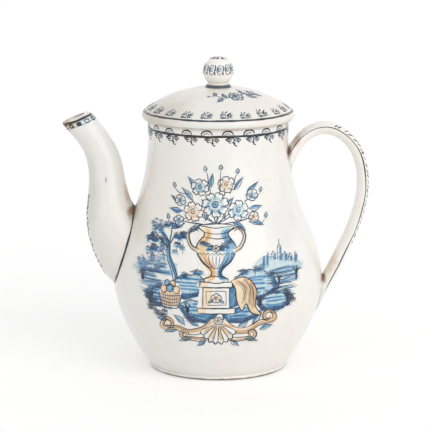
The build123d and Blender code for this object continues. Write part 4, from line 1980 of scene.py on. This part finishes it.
@dataclass
class PaintedBorders:
    """The repeated borders on the neck, the lid and the knob."""

    neck_colour: Material
    lid_colour: Material
    neck_radius: float = 51.3
    neck: Meridian = Meridian(51.3 - 5000.0, 176.0, 5000.0, 0.0)
    dome: Meridian = Meridian.through((54.7, 190.2), (32.55, 202.6), (10.4, 207.6))
    ball: Meridian = Meridian(0.0, 218.96, 11.0, 0.0)
    lip_radius: float = 54.5
    ball_radius: float = 11.0
    repeats: int = 21
    spray_radius: float = 28.0
    spray_up: float = 30.5
    spray_tall: float = 1.35

    def build(self) -> None:
        """Paint every border."""
        self.on_neck()
        self.on_lid()
        self.on_knob()

    @staticmethod
    def level_line(name: str, surface: Meridian, up: float, width: float, colour: Material, ware: Ware) -> None:
        """Paint a line right round a turned surface.

        Args:
            name: the piece's name.
            surface: what it is painted on.
            up: its distance up the profile, in mm.
            width: its width in mm.
            colour: the line colour.
            ware: what it rides on.
        """
        turn = np.linspace(0, 2 * math.pi, 361)
        spots, out = surface.wrap(turn, up + 0.09 * np.sin(turn * 7) + 0.05 * np.sin(turn * 19 + 1))
        mould = Mould()
        mould.ribbon(spots, out, width * (1 + 0.1 * np.sin(turn * 13) + 0.08 * np.sin(turn * 31 + 2)), 1.1)
        mould.piece(name, colour, ware)

    def on_neck(self) -> None:
        """Paint the line, the arches above it and the sprigs below it."""
        shared = (self.repeats, self.neck, self.neck_radius, Ware.POT, self.neck_colour)
        Border("neck_arches", ARCH, *shared, phase=0.141, rise=3.1, seed=5).build()
        self.level_line("neck_line", self.neck, 3.0, 1.7, self.neck_colour, Ware.POT)
        Border("neck_sprigs", SPRIG, *shared, phase=0.209, rise=2.8, seed=6).build()

    def on_lid(self) -> None:
        """Paint the rim line and the sprigs that stand on it."""
        self.level_line("lid_rim_line", self.dome, 0.9, 1.8, self.lid_colour, Ware.LID)
        shared = (self.repeats + 1, self.dome, self.lip_radius, Ware.LID, self.lid_colour)
        Border("lid_sprigs", TUFT, *shared, phase=0.12, rise=2.3, jitter=0.5, seed=4).build()

    def on_dome(self, u: Array, up: Array, lift: Array | float = 0.0) -> Places:
        """Lay flat places in mm onto the dome, at the height where the lid's spray grows."""
        return self.dome.wrap(u / self.spray_radius, self.spray_up + (up - self.spray_up) * self.spray_tall, lift)

    def on_knob(self) -> None:
        """Paint the scrolls round the ball and the rosette on its top."""
        shared = (self.ball, self.ball_radius, Ware.LID, self.lid_colour)
        Border("knob_scrolls", SCROLL, 11, *shared, phase=0.1, rise=2.3, jitter=0.15, seed=2).build()
        Border("knob_rosette", ROSETTE, 8, *shared, jitter=0.2, seed=7).build()


@dataclass
class SpoutDressing:
    """What is painted and luted on the spout: its root's slip, the mouth's line and dots, the ridge's strokes.

    A dot is a dark ring, a solid spot or a pale ring: the share of its radius that is drawn, the line's width and
    how dark it is.
    """

    form: SpoutForm
    profile: PotProfile
    glaze: Material
    lines: Material
    line_depth: float = 2.1
    line_height: float = 0.15
    halo_height: float = 0.09
    dot_depth: float = 5.1
    dots: int = 11
    dot_kinds: tuple[Triple, ...] = ((0.62, 1.3, 1.1), (0.42, 1.9, 1.1), (0.68, 0.95, 0.6))
    mouth_radius: float = 10.2
    strokes_from: float = 127.0
    strokes_to: float = 71.0
    strokes: int = 15
    slip: float = 1.2

    def build(self) -> None:
        """Dress the spout."""
        skin = Skin("pouring_spout")
        hand = np.random.default_rng(12)
        slip = Mould()
        seam = self.form.seam(self.profile)
        places = np.arange(len(seam[0]))
        slip.cove(seam, self.slip * (1 + 0.12 * np.sin(places * 0.7)), 2.5 + 0.25 * np.sin(places * 0.31))
        slip.piece("spout_slip", self.glaze, Ware.POT)
        mould = Mould()
        turn = np.linspace(0, 2 * math.pi, 97)
        line, halo = (self.line_depth, 1.75, 1.3, self.line_height), (self.dot_depth, 3.3, 0.1, self.halo_height)
        for depth, width, ink, high in (line, halo):
            place, leave = self.form.below_mouth(depth + 0.12 * np.sin(turn * 5), turn)
            spots, out = (self.evened(rows) for rows in skin.land(place[:-1], leave[:-1]))
            mould.ribbon(spots, out, width * (1 + 0.08 * np.sin(turn * 7)), ink, high, high / 2, root=0.3)
        for k in range(self.dots):
            angle, radius = 2 * math.pi * (k - 0.25) / self.dots, 2.2 + 0.3 * hand.uniform(-1, 1)
            self.dot(mould, skin, angle, radius, self.dot_kinds[(k + 1) % 3])
        heights = np.linspace(self.strokes_from, self.strokes_to, self.strokes)
        for side, height in [(side, height) for side in (-1, 1) for height in heights]:
            tilt, half = hand.uniform(0.9, 2.3), hand.uniform(0.02, 0.09)
            across = np.linspace(-half, half, 9)
            middle = hand.uniform(0.3, 0.46)
            place, leave = self.form.at_height(height + tilt * across / half, side * (across + middle))
            spots, out = skin.land(place, leave)
            wide = hand.uniform(1.5, 2.8) * np.sin(np.linspace(0.25, 2.9, 9))
            mould.ribbon(spots, out, wide, hand.uniform(0.8, 1.3))
        mould.piece("spout_lines", self.lines, Ware.POT)

    @staticmethod
    def evened(rows: Array, reach: int = 2) -> Array:
        """Even out rows that run round a closed line, and close them."""
        even = sum(np.roll(rows, k, 0) for k in range(-reach, reach + 1)) / (2 * reach + 1)
        return np.vstack([even, even[:1]])

    def dot(self, mould: Mould, skin: Skin, angle: float, radius: float, kind: Triple) -> None:
        """Paint a dot below the mouth's line.

        Args:
            mould: where it is gathered.
            skin: the spout's surface.
            angle: its place round the spout.
            radius: its radius in mm.
            kind: how it is drawn, one of the dot kinds.
        """
        share, width, ink = kind
        turn = np.linspace(0, 2 * math.pi, 13)
        depth = self.dot_depth + radius * share * np.sin(turn)
        around = angle + radius * 1.15 * share * np.cos(turn) / self.mouth_radius
        spots, out = skin.land(*self.form.below_mouth(depth, around))
        mould.ribbon(spots, out, width * np.ones(len(turn)), ink, body=0.1, edge=0.1 / 3)


@dataclass
class HandleDressing:
    """What is painted and luted on the handle: the roots' slip, the edges' lines and the strokes on its back."""

    form: StrapForm
    profile: PotProfile
    glaze: Material
    lines: Material
    slip: float = 1.3
    tails: Point = (3.0, 0.8)
    line_taper: int = 14
    strokes_from: float = 0.25
    strokes_to: float = 0.70
    strokes_apart: float = 0.0185

    def build(self) -> None:
        """Dress the handle."""
        seams = self.form.seams(self.profile)
        for name, tail, seam in zip(("neck_root_slip", "belly_root_slip"), self.tails, seams):
            slip = Mould()
            round_it = np.arange(len(seam[0])) / len(seam[0])
            under = np.exp(-(((round_it - 0.5) / 0.13) ** 2))
            slip.cove(seam, self.slip * (1 + tail * under), 0.3 * (1 - under))
            slip.piece(name, self.glaze, Ware.POT)
        skin = Skin("strap_handle")
        line, out = self.form.path()
        half = self.form.width / 2
        free = np.flatnonzero(np.hypot(line[:, 0], half) > self.profile.radius(line[:, 2]) + 0.5)
        shoulder = self.form.thickness / 2 - self.form.crown
        dark = Mould()
        for side in (-1.0, 1.0):
            y = np.array([0.0, side, 0.0])
            level = shoulder - 0.5 - 0.1 * np.sin(free * 0.19)
            place = line[free] + out[free] * level[:, None] + y * half
            spots, away = skin.land(place, np.tile(y, (len(free), 1)))
            count = np.arange(len(free))
            ends = np.clip(np.minimum(count, count[::-1]) / self.line_taper, 0.1, 1)
            swell = (0.72 + 0.3 * np.sin(free * 0.11) * np.sin(free * 0.047)) * ends
            dark.ribbon(spots, away, swell, 0.8, body=0.09, edge=0.02)
        self.back_strokes(dark, skin, line, out)
        dark.piece("handle_lines", self.lines, Ware.POT)

    def back_strokes(self, mould: Mould, skin: Skin, line: Array, out: Array) -> None:
        """Paint the row of short strokes along each edge of the strap's outer face.

        Args:
            mould: where they are gathered.
            skin: the handle's surface.
            line: the strap's middle line.
            out: the directions out of the loop.
        """
        hand = np.random.default_rng(31)
        starts = np.arange(self.strokes_from, self.strokes_to, self.strokes_apart)
        for side, start in [(side, start) for side in (-1.0, 1.0) for start in starts]:
            start += hand.uniform(-0.005, 0.005)
            length = hand.uniform(0.009, 0.023)
            at = np.linspace(start, start + length, 8) * (len(line) - 1)
            low = at.astype(int)
            part = (at - low)[:, None]
            middle = line[low] * (1 - part) + line[low + 1] * part
            offset = side * np.linspace(hand.uniform(7.4, 9.0), hand.uniform(3.4, 6.2), 8)
            place = middle + np.outer(offset, (0.0, 1.0, 0.0))
            spots, away = skin.land(place, out[low])
            wide = hand.uniform(0.9, 1.8) * np.sin(np.linspace(0.3, 2.8, 8))
            mould.ribbon(spots, away, wide, hand.uniform(0.6, 1.25))


PALE = dict(cream=(0.922, 0.914, 0.893), shade=(0.896, 0.885, 0.864), blush=(0.932, 0.898, 0.862))
# Painted shade: a darker copy of the cream glaze for the spout.
PAINTED_SHADE_CREAM = dict(cream=(0.908, 0.906, 0.893), shade=(0.885, 0.88, 0.862), blush=(0.910, 0.893, 0.869))
# Painted light: a lighter, warmer copy of the cream glaze for the handle and the knob.
PAINTED_LIGHT_CREAM = dict(cream=(0.962, 0.954, 0.934), shade=(0.938, 0.927, 0.904), blush=(0.958, 0.936, 0.904))
SLATE = dict(cream=(0.26, 0.295, 0.335), shade=(0.17, 0.205, 0.245), blush=(0.33, 0.365, 0.405))
WARES = {
    "pot_body": "body",
    "strainer_disc": "body",
    "foot_ring": "foot",
    "pouring_spout": "spout",
    "strap_handle": "handle",
    "lid_cover": "lid",
    "lid_flange": "lid",
    "ball_knob": "knob",
    "knob_collar": "collar",
}


def glazes() -> dict[str, TinGlaze]:
    """Mix the glazes of the pot's pieces, with the stains and wear that each has taken and the painted shade and
    painted light that some carry.

    Returns:
        The glazes by the name of what they cover.
    """
    mouth = StainAndShade((-112.5, -4.0, 180.0), (8.5, 12.0, 8.0), (0.76, 0.61, 0.46), 0.95)
    rim = StainAndShade((-104.5, 0.0, 186.8), (12.5, 13.0, 4.6), (0.95, 0.88, 0.83), 0.9)
    # Painted shade: darkens the spout's outer, left side.
    outer = StainAndShade((-93.0, -4.0, 132.0), (9.0, 24.0, 46.0), (0.955, 0.95, 0.935), 1.0, 40.0)
    # Painted shade: darkens the upper left of the belly beside the spout.
    flank = StainAndShade((-55.0, -22.0, 110.0), (13.0, 26.0, 26.0), (0.945, 0.935, 0.915), 1.0, 45.0)
    # Painted shade: dims and cools the body's lit right side.
    shoulder = StainAndShade((44.0, -36.0, 112.0), (20.0, 34.0, 30.0), (0.967, 0.972, 0.982), 1.0, 30.0)
    crotch = StainAndShade((-63.4, -9.0, 116.2), (4.8, 14.0, 7.5), (0.64, 0.48, 0.35), 1.0)
    corner = StainAndShade((-61.8, -2.0, 119.3), (5.6, 9.0, 5.4), (0.38, 0.29, 0.23), 0.95)
    inner = StainAndShade((-66.5, -3.0, 129.0), (4.2, 12.0, 15.0), (0.87, 0.79, 0.69), 0.8)
    fleck = StainAndShade((-81.8, -12.6, 141.0), (0.9, 2.5, 3.2), (0.5, 0.47, 0.44), 0.7, 700.0)
    neck_root = StainAndShade((51.2, -8.0, 160.2), (3.2, 10.0, 7.0), (0.50, 0.37, 0.27), 1.0)
    strap_start = StainAndShade((55.5, -9.0, 169.5), (6.0, 12.0, 6.5), (0.80, 0.72, 0.63), 0.8)
    belly_root = StainAndShade((77.0, -4.0, 66.5), (3.6, 10.0, 5.0), BROWN, 0.9)
    strap_low = StainAndShade((83.5, -4.0, 79.0), (7.0, 10.0, 16.0), (0.94, 0.895, 0.84), 1.0)
    # Painted shade: darkens the lid's left side.
    shade = StainAndShade((-56.0, -22.0, 198.0), (48.0, 70.0, 34.0), (0.90, 0.88, 0.86), 1.0, 30.0)
    lip = Girdle(185.0, 0.9, (0.78, 0.69, 0.60), 0.55)
    # The foot band is dark chips and painted contact shade along the foot's bottom edge.
    neck_rim, foot_chips_and_shade = Girdle(183.2, 1.2, TAN, 0.1), Girdle(0.3, 1.6, (0.42, 0.36, 0.31), 0.9)
    under_collar, under_knob = Girdle(208.9, 1.4, TAN, 0.3), Girdle(210.5, 1.8, TAN, 0.15)
    on_body = (flank, shoulder, crotch, corner, neck_root, belly_root, neck_rim)
    on_spout = (outer, mouth, rim, crotch, corner, inner, fleck)
    on_strap = (neck_root, strap_start, strap_low, belly_root)
    return {
        "body": TinGlaze("body_tin_glaze", cream=(0.936, 0.932, 0.917), marks=on_body),
        "spout": TinGlaze("spout_tin_glaze", **PAINTED_SHADE_CREAM, marks=on_spout),
        "handle": TinGlaze("handle_tin_glaze", **PAINTED_LIGHT_CREAM, marks=on_strap),
        "foot": TinGlaze("foot_tin_glaze", marks=(foot_chips_and_shade,), pinholes=0.8),
        "lid": TinGlaze("lid_tin_glaze", **PALE, marks=(shade, lip, under_collar)),
        "knob": TinGlaze("knob_tin_glaze", **PAINTED_LIGHT_CREAM, marks=(under_knob,)),
        "collar": TinGlaze("collar_blue_glaze", **SLATE, pinholes=0.0),
    }


def dress(node: str, material: Material) -> None:
    """Give a CAD node its finish."""
    coated(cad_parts[node].data, material)
    log.info("%s: finish %s", node, material.name)


def main() -> None:
    """Build the pot's finishes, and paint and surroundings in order."""
    logging.basicConfig(level=logging.INFO, format="%(message)s")
    profile, kinds = PotProfile(), glazes()
    fired = {name: glaze.material() for name, glaze in kinds.items()}
    for node, ware in WARES.items():
        dress(node, fired[ware])
    pot_washes, lid_washes = kinds["body"].material(washed), kinds["lid"].material(washed)
    drawing = BrushLine("picture_line_blue", thin=(0.48, 0.56, 0.69), full=(0.09, 0.12, 0.2)).material()
    slate = BrushLine("slate_blue_line").material()
    neck_line = BrushLine("neck_line_colour", warmth=0.9).material()
    front = ((-76.0, 28.0), (76.0, 161.0), Ware.POT)
    PaintedPanel("picture", GardenPicture(), profile.wrap, *front, pot_washes, drawing, bold=1.25).build()
    borders = PaintedBorders(neck_line, slate)
    borders.build()
    sprays = Sprays(23, ((6, 108), 6.5, 0.9, 0.7), ((-30, 64), 4.2, 2.6, 0.55), ((36, 60), 4.2, 0.4, 0.55))
    reverse, rear = functools.partial(profile.wrap, facing=math.pi), ((-56.0, 40.0), (66.0, 140.0), Ware.POT)
    PaintedPanel("back_sprays", sprays, reverse, *rear, pot_washes, drawing).build()
    posy, dome = Sprays(5, ((13.2, 30.5), 5.2, -0.1, 1.3)), ((-14.0, 16.0), (42.0, 43.0), Ware.LID)
    PaintedPanel("lid_spray", posy, borders.on_dome, *dome, lid_washes, slate, cell=0.4, bold=2.1).build()
    pale, sepia = (0.86, 0.91, 0.94), (0.2, 0.14, 0.11)
    mouth = BrushLine("mouth_line_colour", pale, warm=sepia, warmth=0.95, warm_middle=-114.0, warm_half=17.0)
    SpoutDressing(SpoutForm(), profile, pot_washes, mouth.material()).build()
    strap = BrushLine("strap_line_colour", (0.85, 0.84, 0.82), (0.56, 0.54, 0.53), (0.2, 0.19, 0.195))
    HandleDressing(StrapForm(), profile, pot_washes, strap.material()).build()
    Camera().build()
    Studio().build()


if __name__ == "__main__":
    main()
